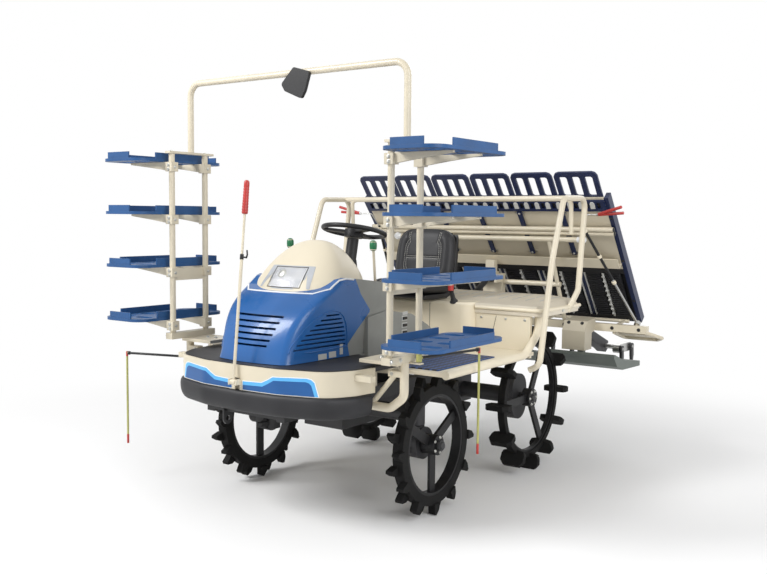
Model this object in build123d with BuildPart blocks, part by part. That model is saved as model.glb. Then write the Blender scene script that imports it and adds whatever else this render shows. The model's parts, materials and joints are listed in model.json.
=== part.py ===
from build123d import *
import os
from math import cos, radians, sin

os.makedirs("parts", exist_ok=True)

# Riding rice transplanter, six rows. Millimetres, +Z up, the front faces -Y, the machine's left is +X.
# The ground is Z = 0; the origin lies on the middle plane, halfway along the machine.

# Driving dimensions
ROW_SPACING = 300
TREAD = 4 * ROW_SPACING
WHEELBASE = 1115
FRONT_AXLE_Y = -765
FRONT_WHEEL_RADIUS = 366
REAR_WHEEL_RADIUS = 440
SKIRT_BOTTOM = 700
SKIRT_TOP = 820
FLOOR_TOP = 780
FLOOR_HALF_WIDTH = 800
PLATFORM_EDGE_TOP = 1010
PLATFORM_CROWN = 1062
PLATFORM_HALF_WIDTH = 850
RACK_POST_X = 719
TRAY_LEVELS = (968, 1259, 1546, 1829)
TANK_SLOPE = 39
TANK_HALF_WIDTH = 930
LIFT_LINK_LENGTH = 620
LIFT_REST_ANGLE = 27
RUNNING_CLEARANCE = 0.05
SIDES = (("left", 1), ("right", -1))


def at(y):
    """Station y, counted from the front axle."""
    return FRONT_AXLE_Y + y


def tube(points, bend, radius, bore=0):
    """Round bar or tube along straight runs joined by arcs."""
    with BuildPart() as run:
        with BuildLine() as path:
            if len(points) > 2:
                FilletPolyline(*points, radius=bend)
            else:
                Line(*points)
        with BuildSketch(Plane(origin=path.line @ 0, z_dir=path.line % 0)):
            Circle(radius)
            if bore:
                Circle(bore, mode=Mode.SUBTRACT)
        sweep()
    return run.part


def bar(start, end, radius):
    """Straight round bar."""
    return tube((start, end), 0, radius)


def block(low, high):
    """Rectangular block between two corners."""
    size = [abs(high[i] - low[i]) for i in range(3)]
    centre = tuple((high[i] + low[i]) / 2 for i in range(3))
    with BuildPart() as piece:
        with Locations(centre):
            Box(*size)
    return piece.part


def plan_outline(half, bend=0):
    """Outline in plan, mirrored from half its points; all but the rear corners can be rounded."""
    points = list(half) + [(-x, y) for x, y in reversed(half) if x > 0]
    with BuildSketch() as outline:
        with BuildLine():
            Polyline(*points, close=True)
        make_face()
        if bend:
            fillet(outline.vertices().sort_by(Axis.Y)[:-2], bend)
    return outline.sketch


def side_slab(points, x_low, x_high, bend=0):
    """Side view outline of (y, z) points, carried across from one x to another."""
    with BuildPart() as slab:
        with BuildSketch(Plane(origin=(x_low, 0, 0), x_dir=(0, 1, 0), z_dir=(1, 0, 0))) as outline:
            with BuildLine():
                Polyline(*points, close=True)
            make_face()
            if bend:
                fillet(outline.vertices(), bend)
        extrude(amount=x_high - x_low)
    return slab.part


def front_slab(points, y_low, y_high, bend=0):
    """Front view outline of (x, z) points, carried back from one y to another."""
    with BuildPart() as slab:
        with BuildSketch(Plane(origin=(0, y_high, 0), x_dir=(1, 0, 0), z_dir=(0, -1, 0))) as outline:
            with BuildLine():
                Polyline(*points, close=True)
            make_face()
            if bend:
                fillet(outline.vertices(), bend)
        extrude(amount=y_high - y_low)
    return slab.part


# Places of the lift's pins, shared by the chassis, the links and the planter
LINK_FRONT_STATION = 1120
LOWER_LINK_Z = 590
UPPER_LINK_Z = 840
LOWER_LINK_X = 170
LINK_RISE = LIFT_LINK_LENGTH * sin(radians(LIFT_REST_ANGLE))
LINK_REACH = LIFT_LINK_LENGTH * cos(radians(LIFT_REST_ANGLE))
LINK_REAR_STATION = LINK_FRONT_STATION + LINK_REACH
PIN_RADIUS = 12
CYLINDER_FOOT = (0, at(800), 700)

# Chassis frame: two rails, cross members and the posts that carry floor, skirt and racks
RAIL_X = 230
RAIL_WIDTH = 50
RAIL_BOTTOM = 560
RAIL_TOP = 630
RAIL_FRONT = -760
RAIL_REAR = 1090
CROSS_STATIONS = (-735, -330, 420)
REAR_CROSS_STATION = 1060
CARRIER_STATION = -440
TOW_X = -130
TOW_Z = 532
TOW_HOLE_RADIUS = 14

with BuildPart() as chassis_frame:
    for sign in (1, -1):
        add(block((sign * RAIL_X - RAIL_WIDTH / 2, at(RAIL_FRONT), RAIL_BOTTOM),
                  (sign * RAIL_X + RAIL_WIDTH / 2, at(RAIL_REAR), RAIL_TOP)))
chassis_frame.part.label = "chassis_frame"
export_step(chassis_frame.part, "parts/chassis_frame.step")

# Cross members between the rails, with the foot of the lift cylinder and the tow eye
CROSS_HALF = RAIL_X - RAIL_WIDTH / 2
with BuildPart() as cross_members:
    for station in CROSS_STATIONS:
        add(block((-CROSS_HALF, at(station) - 25, RAIL_BOTTOM + 10),
                  (CROSS_HALF, at(station) + 25, RAIL_TOP - 10)))
    # the rear cross member lies low so the lift cylinder passes over it
    add(block((-CROSS_HALF, at(REAR_CROSS_STATION) - 25, RAIL_BOTTOM),
              (CROSS_HALF, at(REAR_CROSS_STATION) + 25, RAIL_BOTTOM + 38)))
    foot_y, foot_z = CYLINDER_FOOT[1], CYLINDER_FOOT[2]
    add(block((-CROSS_HALF, foot_y - 22, RAIL_BOTTOM + 10), (CROSS_HALF, foot_y + 22, RAIL_TOP - 10)))
    for sign in (1, -1):
        add(block((sign * 34, foot_y - 20, RAIL_TOP - 12), (sign * 46, foot_y + 20, foot_z + 24)))
    add(bar((-46, foot_y, foot_z), (46, foot_y, foot_z), PIN_RADIUS))
    # tow eye under the front cross member
    with BuildSketch(Plane(origin=(TOW_X - 5, at(-745), TOW_Z), x_dir=(0, 1, 0), z_dir=(1, 0, 0))):
        Circle(30)
        with Locations((0, 25)):
            Rectangle(60, 50)
        Circle(TOW_HOLE_RADIUS, mode=Mode.SUBTRACT)
    extrude(amount=10)
cross_members.part.label = "cross_members"
export_step(cross_members.part, "parts/cross_members.step")

# Bearers that stand on the rails and carry the deck, the skirt, the racks and the floor
# station, half width, depth, top
BEARERS = ((-580, 640, 40, 800), (-315, 560, 30, 800), (-20, 420, 40, FLOOR_TOP - 20),
           (560, FLOOR_HALF_WIDTH - 60, 40, FLOOR_TOP - 20))
BEARER_HEIGHT = 28
with BuildPart() as bearers:
    for station, half, depth, top in BEARERS:
        low, high = at(station) - depth / 2, at(station) + depth / 2
        add(block((-half, low, top - BEARER_HEIGHT), (half, high, top)))
        for sign in (1, -1):
            add(block((sign * RAIL_X - 20, low, RAIL_TOP), (sign * RAIL_X + 20, high, top - BEARER_HEIGHT + 5)))
    # feet of the racks' carrying tube
    for sign in (1, -1):
        add(block((sign * (RAIL_X + RAIL_WIDTH / 2), at(CARRIER_STATION) - 18, 610),
                  (sign * 500, at(CARRIER_STATION) + 18, 655)))
bearers.part.label = "bearers"
export_step(bearers.part, "parts/bearers.step")

# Hitch at the rear: posts that carry the platform, ears and pins of the lift links
with BuildPart() as rear_hitch:
    for sign in (1, -1):
        add(block((sign * RAIL_X - 22, at(1045), RAIL_TOP),
                  (sign * RAIL_X + 22, at(1089), PLATFORM_EDGE_TOP - 32)))
        add(block((sign * 208, at(RAIL_REAR), LOWER_LINK_Z - 30), (sign * 224, at(1150), LOWER_LINK_Z + 30)))
        add(block((sign * 54, at(1050), UPPER_LINK_Z - 32), (sign * 70, at(1150), UPPER_LINK_Z + 32)))
    add(block((-230, at(1046), UPPER_LINK_Z - 32), (230, at(1070), UPPER_LINK_Z + 32)))
    add(bar((-RAIL_X + 22, at(LINK_FRONT_STATION), LOWER_LINK_Z),
            (RAIL_X - 22, at(LINK_FRONT_STATION), LOWER_LINK_Z), PIN_RADIUS))
    add(bar((-66, at(LINK_FRONT_STATION), UPPER_LINK_Z), (66, at(LINK_FRONT_STATION), UPPER_LINK_Z),
            PIN_RADIUS))
rear_hitch.part.label = "rear_hitch"
export_step(rear_hitch.part, "parts/rear_hitch.step")

# Drive line: gear case, front axle with king pin cases, rear axle with its end cases
KING_PIN_X = 500
KING_PIN_RADIUS = 22
FRONT_BEAM_Z = 508
FRONT_BEAM_RADIUS = 44
REAR_CASE_X = 505

with BuildPart() as drive_line:
    add(block((-130, at(-150), 400), (130, at(300), 559)))
    add(block((-90, at(299), 420), (90, at(960), 520)))
    add(block((-140, at(959), 360), (140, at(1210), 559)))
    add(bar((-KING_PIN_X, at(0), FRONT_BEAM_Z), (KING_PIN_X, at(0), FRONT_BEAM_Z), FRONT_BEAM_RADIUS))
    add(bar((-REAR_CASE_X, at(WHEELBASE), REAR_WHEEL_RADIUS),
            (REAR_CASE_X, at(WHEELBASE), REAR_WHEEL_RADIUS), 50))
    for sign in (1, -1):
        with Locations((sign * KING_PIN_X, at(0), FRONT_BEAM_Z)):
            Cylinder(FRONT_BEAM_RADIUS + 4, 100)
            Cylinder(KING_PIN_RADIUS + RUNNING_CLEARANCE, 120, mode=Mode.SUBTRACT)
        with BuildSketch(Plane(origin=(sign * REAR_CASE_X - 30, at(WHEELBASE), REAR_WHEEL_RADIUS),
                               x_dir=(0, 1, 0), z_dir=(1, 0, 0))):
            SlotCenterToCenter(90, 190, rotation=90)
        extrude(amount=60)
        add(bar((sign * (REAR_CASE_X + 20), at(WHEELBASE), REAR_WHEEL_RADIUS),
                (sign * (TREAD / 2 + 30), at(WHEELBASE), REAR_WHEEL_RADIUS), 25))
drive_line.part.label = "drive_line"
export_step(drive_line.part, "parts/drive_line.step")

# Engine: one plain block under the hood
with BuildPart() as engine:
    add(block((-170, at(-550), RAIL_TOP - 10), (170, at(-340), 1000)))
    fillet(engine.edges().filter_by(Axis.Z), 20)
engine.part.label = "engine"
export_step(engine.part, "parts/engine.step")

# Front skirt band, bumper and deck mat share one plan
SKIRT_HALF_PLAN = ((0, at(-812)), (240, at(-800)), (480, at(-730)), (552, at(-596)), (576, at(-420)))
SKIRT_CORNER = 170
SKIRT_WALL = 10
SKIRT_END = -465
POLE_STATION = -836
POLE_FOOT_Z = 740
POLE_SLOT = 16


def offset_plan(amount):
    """The skirt's plan, grown or shrunk by an amount."""
    with BuildSketch() as plan:
        add(plan_outline(SKIRT_HALF_PLAN, SKIRT_CORNER))
        if amount:
            offset(amount=amount, kind=Kind.ARC)
    return plan.sketch


def skirt_ring(z, height, outward, wall):
    """Open band that follows the skirt's plan, set outward by a given amount."""
    with BuildPart() as ring:
        with BuildSketch(Plane.XY.offset(z)):
            add(offset_plan(outward))
            add(offset_plan(outward - wall), mode=Mode.SUBTRACT)
            with Locations((0, at(SKIRT_END) + 150)):
                Rectangle(1400, 300, mode=Mode.SUBTRACT)
        extrude(amount=height)
    return ring.part


with BuildPart() as front_skirt:
    add(skirt_ring(SKIRT_BOTTOM, SKIRT_TOP - SKIRT_BOTTOM, 0, SKIRT_WALL))
    # slot for the pole's foot, with its ears and pin
    add(block((-POLE_SLOT, at(-830), SKIRT_BOTTOM - 5), (POLE_SLOT, at(-790), POLE_FOOT_Z + 18)),
        mode=Mode.SUBTRACT)
    for sign in (1, -1):
        add(block((sign * 19, at(POLE_STATION) - 12, POLE_FOOT_Z - 14),
                  (sign * 25, at(-802), POLE_FOOT_Z + 14)))
    add(bar((-25, at(POLE_STATION), POLE_FOOT_Z), (25, at(POLE_STATION), POLE_FOOT_Z), 5))
    add(bearers.part, mode=Mode.SUBTRACT)
front_skirt.part.label = "front_skirt"
export_step(front_skirt.part, "parts/front_skirt.step")

BUMPER_WALL = 40
with BuildPart() as front_bumper:
    add(skirt_ring(SKIRT_BOTTOM - 110, 109, 18, BUMPER_WALL))
    fillet(front_bumper.edges().group_by(Axis.Z)[0], BUMPER_WALL / 2 - 2)
front_bumper.part.label = "front_bumper"
export_step(front_bumper.part, "parts/front_bumper.step")

with BuildPart() as deck_mat:
    with BuildSketch(Plane.XY.offset(SKIRT_TOP - 20)):
        add(offset_plan(-SKIRT_WALL - 0.5))
    extrude(amount=24)
    add(block((-566, at(SKIRT_END) + 0.5, SKIRT_TOP - 20), (566, at(-205), SKIRT_TOP + 4)))
    add(block((-176, at(-556), 700), (176, at(-334), 900)), mode=Mode.SUBTRACT)
deck_mat.part.label = "deck_mat"
export_step(deck_mat.part, "parts/deck_mat.step")

# Hood: one lofted body shared out to the blue shell in front and the dash panel behind it
HOOD_BOTTOM = 826
BODY_SECTIONS = (
    # z, front y, corner x, corner y, rear x, rear y, corner radius
    (HOOD_BOTTOM, -752, 232, -714, 288, 50, 60),
    (971, -704, 242, -666, 298, 60, 62),
    (1063, -642, 264, -606, 300, 50, 64),
    (1134, -560, 284, -512, 296, 40, 66),
    (1240, -432, 290, -350, 288, 30, 66),
)
# side view of the seam between the blue shell and the light upper hood
SEAM = ((-900, 1157), (-495, 1158), (-440, 1180), (-375, 1220), (-335, 1228), (-227, 1217), (25, 1188),
        (400, 1160))
# side view of the blue shell's rear edge, pointed at half height
BLUE_REAR = ((-265, HOOD_BOTTOM - 10), (-283, 886), (-215, 958), (-128, 1042), (-128, 1056), (-208, 1140),
             (-268, 1240))


def hood_section(z, front, corner_x, corner_y, rear_x, rear_y, corner_radius):
    """Plan section of a hood at height z: curved front, rounded front corners, straight sides."""
    with BuildSketch(Plane.XY.offset(z)) as section:
        with BuildLine():
            ThreePointArc((-corner_x, at(corner_y)), (0, at(front)), (corner_x, at(corner_y)))
            Polyline((corner_x, at(corner_y)), (rear_x, at(rear_y)), (-rear_x, at(rear_y)),
                     (-corner_x, at(corner_y)))
        make_face()
        fillet(section.vertices().sort_by(Axis.Y)[:2], corner_radius)
    return section.sketch


def stations(points):
    """The same side view points with their stations turned into y."""
    return [(at(y), z) for y, z in points]


below_seam = side_slab(stations(SEAM + ((400, 600), (-900, 600))), -400, 400)
above_seam = side_slab(stations(SEAM + ((400, 1600), (-900, 1600))), -400, 400)
before_rear_edge = side_slab(stations(BLUE_REAR + ((-900, 1240), (-900, HOOD_BOTTOM - 10))), -400, 400)

with BuildPart() as hood_body:
    for section in BODY_SECTIONS:
        add(hood_section(*section))
    loft()
    add(below_seam, mode=Mode.INTERSECT)

with BuildPart() as hood_lower:
    add(hood_body.part)
    add(before_rear_edge, mode=Mode.INTERSECT)
    # grille slots across the front
    for z, half in ((1046, 150), (1018, 142), (990, 134), (962, 126), (934, 118), (908, 108)):
        add(block((-half, at(-800), z - 5), (half, at(-600), z + 5)), mode=Mode.SUBTRACT)
    # louvre slots in each side, under an arch
    for row, (front, rear) in enumerate(((-668, -300), (-648, -302), (-622, -306), (-594, -312), (-564, -320),
                                         (-532, -330), (-498, -344), (-462, -364))):
        z = 892 + 22 * row
        for sign in (1, -1):
            add(block((sign * 215, at(front), z - 4), (sign * 330, at(rear), z + 4)), mode=Mode.SUBTRACT)
    add(block((-176, at(-556), HOOD_BOTTOM - 30), (176, at(-334), 1006)), mode=Mode.SUBTRACT)
hood_lower.part.label = "hood_lower"
export_step(hood_lower.part, "parts/hood_lower.step")

DOME_SECTIONS = (
    (1150, -508, 288, -440, 266, -90, 90),
    (1228, -446, 272, -392, 252, -90, 90),
    (1290, -396, 236, -346, 206, -110, 80),
    (1350, -330, 190, -288, 168, -160, 50),
    (1394, -264, 150, -246, 138, -206, 12),
)
# front view of the lamp and the wedge it takes out of the dome
LAMP_OUTLINE = ((-118, 1168), (118, 1168), (112, 1282), (-112, 1282))
LAMP_WEDGE = ((-560, 1150), (-420, 1150), (-340, 1300), (-480, 1300))

with BuildPart() as dome:
    for section in DOME_SECTIONS:
        add(hood_section(*section))
    loft()
    add(above_seam, mode=Mode.INTERSECT)

with BuildPart() as headlamps:
    add(dome.part)
    add(front_slab(LAMP_OUTLINE, at(-600), at(-300), 14), mode=Mode.INTERSECT)
    add(side_slab(stations(LAMP_WEDGE), -200, 200), mode=Mode.INTERSECT)
headlamps.part.label = "headlamps"
export_step(headlamps.part, "parts/headlamps.step")

with BuildPart() as hood_upper:
    add(dome.part)
    add(headlamps.part, mode=Mode.SUBTRACT)
hood_upper.part.label = "hood_upper"
export_step(hood_upper.part, "parts/hood_upper.step")

# Dash panel behind the blue shell, down to the floor
with BuildPart() as dash_panel:
    add(hood_body.part)
    add(before_rear_edge, mode=Mode.SUBTRACT)
    add(block((-284, at(-200), FLOOR_TOP), (284, at(40), HOOD_BOTTOM + 1)))
    add(hood_upper.part, mode=Mode.SUBTRACT)
    add(deck_mat.part, mode=Mode.SUBTRACT)
    add(engine.part, mode=Mode.SUBTRACT)
dash_panel.part.label = "dash_panel"
export_step(dash_panel.part, "parts/dash_panel.step")

# Console: the low tunnel between the operator's feet
CONSOLE_PROFILE = ((-160, FLOOR_TOP + 1), (-160, 1016), (5, 1040), (247, 1005), (413, 930), (520, 862),
                   (560, 800), (566, FLOOR_TOP + 1))
CONSOLE_HALF_WIDTH = 302
with BuildPart() as console:
    add(side_slab(stations(CONSOLE_PROFILE), -CONSOLE_HALF_WIDTH, CONSOLE_HALF_WIDTH))
    fillet(console.edges().filter_by(Axis.X).group_by(Axis.Z)[-1], 30)
    add(hood_body.part, mode=Mode.SUBTRACT)
    add(dash_panel.part, mode=Mode.SUBTRACT)
    add(deck_mat.part, mode=Mode.SUBTRACT)
console.part.label = "console"
export_step(console.part, "parts/console.step")

# Steering column and wheel
WHEEL_CENTRE = (0, at(118), 1455)
COLUMN_LEAN = 12
COLUMN_DIR = Vector(0, sin(radians(COLUMN_LEAN)), cos(radians(COLUMN_LEAN)))
COLUMN_LENGTH = 225
COLUMN_TOP = Vector(*WHEEL_CENTRE) - COLUMN_DIR * 44
COLUMN_FOOT = COLUMN_TOP - COLUMN_DIR * COLUMN_LENGTH
STEERING_WHEEL_RADIUS = 172
RIM_RADIUS = 13
HUB_RADIUS = 52
SPOKE_WIDTH = 40

with BuildPart() as steering_column:
    with BuildSketch(Plane(origin=COLUMN_FOOT, x_dir=(1, 0, 0), z_dir=COLUMN_DIR)):
        Circle(62)
    with BuildSketch(Plane(origin=COLUMN_FOOT + COLUMN_DIR * 110, x_dir=(1, 0, 0), z_dir=COLUMN_DIR)):
        Circle(34)
    loft()
    add(bar(COLUMN_FOOT + COLUMN_DIR * 109, COLUMN_TOP, 32))
    add(hood_upper.part, mode=Mode.SUBTRACT)
    add(dash_panel.part, mode=Mode.SUBTRACT)
steering_column.part.label = "steering_column"
export_step(steering_column.part, "parts/steering_column.step")

wheel_plane = Plane(origin=WHEEL_CENTRE, x_dir=(1, 0, 0), z_dir=COLUMN_DIR)
with BuildPart() as steering_wheel:
    with BuildSketch(Plane(origin=wheel_plane.origin, x_dir=wheel_plane.x_dir, z_dir=-wheel_plane.y_dir)):
        with Locations((STEERING_WHEEL_RADIUS, 0)):
            Circle(RIM_RADIUS)
    revolve(axis=Axis(wheel_plane.origin, wheel_plane.z_dir))
    with BuildSketch(wheel_plane.offset(-36)):
        Circle(HUB_RADIUS)
    extrude(amount=42)
    with BuildSketch(wheel_plane.offset(-14)):
        with PolarLocations(STEERING_WHEEL_RADIUS / 2, 3, start_angle=90):
            Rectangle(STEERING_WHEEL_RADIUS, SPOKE_WIDTH)
    extrude(amount=14)
steering_wheel.part.label = "steering_wheel"
export_step(steering_wheel.part, "parts/steering_wheel.step")

# Floor: step board with a rolled outer edge that sweeps up to the platform
FLOOR_FRONT = -205
RISER_STATION = 752
EDGE_RADIUS = 22

with BuildPart() as floor:
    add(block((-FLOOR_HALF_WIDTH, at(FLOOR_FRONT), FLOOR_TOP - 20),
              (FLOOR_HALF_WIDTH, at(RISER_STATION), FLOOR_TOP)))
    for sign in (1, -1):
        x = sign * FLOOR_HALF_WIDTH
        add(tube(((x, at(FLOOR_FRONT), FLOOR_TOP - 8), (x, at(640), FLOOR_TOP - 8), (x, at(800), 880),
                  (x, at(806), PLATFORM_EDGE_TOP - 34)), 110, EDGE_RADIUS))
    for piece in (dash_panel, console, deck_mat):
        add(piece.part, mode=Mode.SUBTRACT)
floor.part.label = "floor"
export_step(floor.part, "parts/floor.step")

with BuildPart() as floor_mats:
    for sign in (1, -1):
        add(block((sign * 530 - 200, at(-160), FLOOR_TOP), (sign * 530 + 200, at(420), FLOOR_TOP + 6)))
floor_mats.part.label = "floor_mats"
export_step(floor_mats.part, "parts/floor_mats.step")

# Seat housing with its risers on both sides
HOUSING_HALF_WIDTH = 420
HOUSING_TOP = 1040
with BuildPart() as seat_housing:
    add(block((-HOUSING_HALF_WIDTH, at(690), FLOOR_TOP + 0.5), (HOUSING_HALF_WIDTH, at(1030), HOUSING_TOP)))
    fillet(seat_housing.edges().filter_by(Axis.Z), 70)
    fillet(seat_housing.faces().sort_by(Axis.Z)[-1].edges(), 16)
    for sign in (1, -1):
        add(block((min(sign * 380, sign * 775), at(RISER_STATION + 1), FLOOR_TOP - 40),
                  (max(sign * 380, sign * 775), at(RISER_STATION + 25), PLATFORM_EDGE_TOP - 31)))
seat_housing.part.label = "seat_housing"
export_step(seat_housing.part, "parts/seat_housing.step")

# Rear platform: crowned sheet that rises a little towards the rear
PLATFORM_SIDE_VIEW = ((745, PLATFORM_EDGE_TOP - 30), (745, 1026), (762, 1036), (1290, PLATFORM_CROWN),
                      (1290, PLATFORM_EDGE_TOP - 30))
PLATFORM_FRONT_VIEW = ((-PLATFORM_HALF_WIDTH, PLATFORM_EDGE_TOP - 30),
                       (-PLATFORM_HALF_WIDTH, PLATFORM_EDGE_TOP), (-790, 1048), (-600, PLATFORM_CROWN + 4),
                       (600, PLATFORM_CROWN + 4), (790, 1048), (PLATFORM_HALF_WIDTH, PLATFORM_EDGE_TOP),
                       (PLATFORM_HALF_WIDTH, PLATFORM_EDGE_TOP - 30))
with BuildPart() as rear_platform:
    add(side_slab(stations(PLATFORM_SIDE_VIEW), -PLATFORM_HALF_WIDTH, PLATFORM_HALF_WIDTH))
    add(front_slab(PLATFORM_FRONT_VIEW, at(700), at(1300)), mode=Mode.INTERSECT)
    with BuildSketch(Plane.XY.offset(900)):
        with Locations((0, at(1017.5))):
            RectangleRounded(2 * PLATFORM_HALF_WIDTH, 545, 60)
    extrude(amount=300, mode=Mode.INTERSECT)
    add(seat_housing.part, mode=Mode.SUBTRACT)
rear_platform.part.label = "rear_platform"
export_step(rear_platform.part, "parts/rear_platform.step")

# Seat: cushion and backrest, one moulded pad
SEAT_HALF_WIDTH = 215
SEAT_PROFILE = ((520, 1086), (560, 1066), (820, 1052), (900, 1100), (930, 1440), (880, 1462), (846, 1420),
                (822, 1180), (790, 1150), (560, 1166), (520, 1144))
with BuildPart() as seat:
    add(side_slab(stations(SEAT_PROFILE), -SEAT_HALF_WIDTH, SEAT_HALF_WIDTH, 14))
    add(front_slab(((-SEAT_HALF_WIDTH, 900), (SEAT_HALF_WIDTH, 900), (SEAT_HALF_WIDTH, 1463),
                    (-SEAT_HALF_WIDTH, 1463)), at(400), at(1100), 80), mode=Mode.INTERSECT)
    add(block((-150, at(700), HOUSING_TOP + 0.5), (150, at(850), 1080)))
seat.part.label = "seat"
export_step(seat.part, "parts/seat.step")

# Hand rails: a loop at each side, a guard rail between them and a short inner tube at each end
RAIL_TUBE = 17
LOOP_X = 880
with BuildPart() as hand_rails:
    for sign in (1, -1):
        x = sign * LOOP_X
        add(tube(((sign * 822, at(655), 690), (x, at(665), 720), (x, at(800), 1310), (x, at(930), 1650),
                  (x, at(1237), 1655), (x, at(1165), 1110), (sign * 840, at(1110), 985)), 60, RAIL_TUBE))
        add(tube(((sign * 760, at(1180), 1654), (sign * 815, at(1180), 1640), (sign * 815, at(1192), 1440)),
                 30, 13))
    add(bar((-LOOP_X, at(1180), 1654), (LOOP_X, at(1180), 1654), RAIL_TUBE))
    add(rear_platform.part, mode=Mode.SUBTRACT)
hand_rails.part.label = "hand_rails"
export_step(hand_rails.part, "parts/hand_rails.step")

# Seedling racks: two posts, base and cap, clamps and bracket arms for the trays, carrying tube below
POST_STATIONS = (-565, -322)
POST_RADIUS = 16
RACK_FOOT = 895
RACK_CAP = 1866
TRAY_LENGTH = 650
TRAY_MID_STATION = -434
TRAY_INNER_X = 770
TRAY_OUTER_X = 1083
TRAY_THICKNESS = 16
SIDE_PIVOT = (RACK_POST_X + 60, -408)
MARKER_HEIGHTS = (880, 738)
CARRIER_RADIUS = 21

with BuildPart() as racks:
    for sign in (1, -1):
        x = sign * RACK_POST_X
        for station in POST_STATIONS:
            add(bar((x, at(station), RACK_FOOT), (x, at(station), RACK_CAP), POST_RADIUS))
            for level in TRAY_LEVELS:
                under = level - TRAY_THICKNESS / 2
                add(block((x - 24, at(station) - 24, under - 52), (x + 24, at(station) + 24, under - 2)))
                root, knee = sign * (RACK_POST_X + 20), sign * (RACK_POST_X + 150)
                end = sign * (TRAY_OUTER_X - 40)
                add(front_slab(((root, under), (end, under), (end, under - 10), (knee, under - 30),
                                (root, under - 48)), at(station) - 9, at(station) + 9))
        low, high = min(POST_STATIONS) - 30, max(POST_STATIONS) + 50
        add(block((x - 24, at(low), RACK_FOOT - 34), (x + 24, at(high), RACK_FOOT)))
        add(block((x - 20, at(low), RACK_CAP), (x + 20, at(high), RACK_CAP + 12)))
        add(block((x - 4, at(POST_STATIONS[0]), 1180), (x + 4, at(POST_STATIONS[1]), 1245)))
        # flat plate from the base beam in over the deck
        add(block((min(sign * 500, x), at(-500), 845), (max(sign * 500, x), at(-300), 862)))
        # carrying tube below, bent from the base beam inwards, with its straight brace
        add(tube(((x, at(CARRIER_STATION), 866), (x, at(CARRIER_STATION), 690),
                  (sign * 640, at(CARRIER_STATION), 630), (sign * 480, at(CARRIER_STATION), 632)),
                 55, CARRIER_RADIUS))
        add(bar((sign * 535, at(CARRIER_STATION), 640), (sign * 672, at(CARRIER_STATION), 800), 13))
        add(block((min(sign * 640, x), at(CARRIER_STATION) - 20, 786),
                  (max(sign * 640, x), at(CARRIER_STATION) + 20, 815)))
    # ears and pins of the side markers
    for sign, height in ((1, MARKER_HEIGHTS[0]), (-1, MARKER_HEIGHTS[1])):
        pin_x, pin_y = sign * SIDE_PIVOT[0], at(SIDE_PIVOT[1])
        add(block((sign * (RACK_POST_X + 2), pin_y - 14, height - 30),
                  (pin_x + sign * 16, pin_y + 14, height - 22)))
        add(bar((pin_x, pin_y, height - 25), (pin_x, pin_y, height + 20), 6))
    for piece in (chassis_frame, cross_members, bearers, front_skirt, deck_mat):
        add(piece.part, mode=Mode.SUBTRACT)
racks.part.label = "racks"
export_step(racks.part, "parts/racks.step")

# Trays: thin plates with rounded corners, pockets cut through and raised edges along the middle of each side
TRAY_CORNER = 80
EDGE_HEIGHT = 34
with BuildPart() as trays:
    for sign in (1, -1):
        middle_x = sign * (TRAY_INNER_X + TRAY_OUTER_X) / 2
        width = TRAY_OUTER_X - TRAY_INNER_X
        for level in TRAY_LEVELS:
            with BuildSketch(Plane.XY.offset(level - TRAY_THICKNESS / 2)):
                with Locations((middle_x, at(TRAY_MID_STATION))):
                    RectangleRounded(width, TRAY_LENGTH, TRAY_CORNER)
                    with GridLocations(136, 142, 2, 4):
                        SlotOverall(104, 62, mode=Mode.SUBTRACT)
            extrude(amount=TRAY_THICKNESS)
            with BuildSketch(Plane.XY.offset(level + TRAY_THICKNESS / 2 - 1)):
                with Locations((middle_x, at(TRAY_MID_STATION))):
                    with GridLocations(width - 12, 0, 2, 1):
                        Rectangle(8, 390)
                    with GridLocations(0, TRAY_LENGTH - 12, 1, 2):
                        Rectangle(168, 8)
            extrude(amount=EDGE_HEIGHT)
trays.part.label = "trays"
export_step(trays.part, "parts/trays.step")

# Overhead bar that ties the two racks, with a tilted mirror near its middle
BAR_HEIGHT = 2247
BAR_STATION = -430
BAR_RADIUS = 17
with BuildPart() as overhead_bar:
    add(tube(((-713, at(BAR_STATION), RACK_CAP + 12), (-713, at(BAR_STATION), BAR_HEIGHT),
              (713, at(BAR_STATION), BAR_HEIGHT), (713, at(BAR_STATION), RACK_CAP + 12)), 70, BAR_RADIUS))
overhead_bar.part.label = "overhead_bar"
export_step(overhead_bar.part, "parts/overhead_bar.step")

MIRROR_OUTLINE = ((55, 2270), (158, 2240), (128, 2150), (104, 2112), (-2, 2156), (-26, 2192))
with BuildPart() as mirror_glass:
    add(front_slab(MIRROR_OUTLINE, at(BAR_STATION) - 36, at(BAR_STATION) - BAR_RADIUS, 16))
mirror_glass.part.label = "mirror"
export_step(mirror_glass.part, "parts/mirror.step")

# Control levers: two beside the dash, one beside the seat
LEVER_FOOT = (256, -30, 1150)
LEVER_KNOB = (284, -94, 1384)
with BuildPart() as levers:
    for sign in (1, -1):
        foot = (sign * LEVER_FOOT[0], at(LEVER_FOOT[1]), LEVER_FOOT[2])
        knob = (sign * LEVER_KNOB[0], at(LEVER_KNOB[1]), LEVER_KNOB[2])
        add(bar(foot, knob, 7))
        with Locations(knob):
            Cylinder(17, 44)
    add(bar((300, at(710), HOUSING_TOP - 5), (304, at(664), 1128), 8))
    with Locations((304.5, at(660), 1136)):
        Cylinder(15, 56)
    for piece in (hood_upper, seat_housing, dash_panel, console):
        add(piece.part, mode=Mode.SUBTRACT)
levers.part.label = "levers"
export_step(levers.part, "parts/levers.step")

# Front wheels and the knuckles that steer them
STUB_RADIUS = 20
FRONT_TYRE_WIDTH = 84
FRONT_OPENING = 248
FRONT_LUGS = 24
KNUCKLE_CASE_RADIUS = 84

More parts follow.
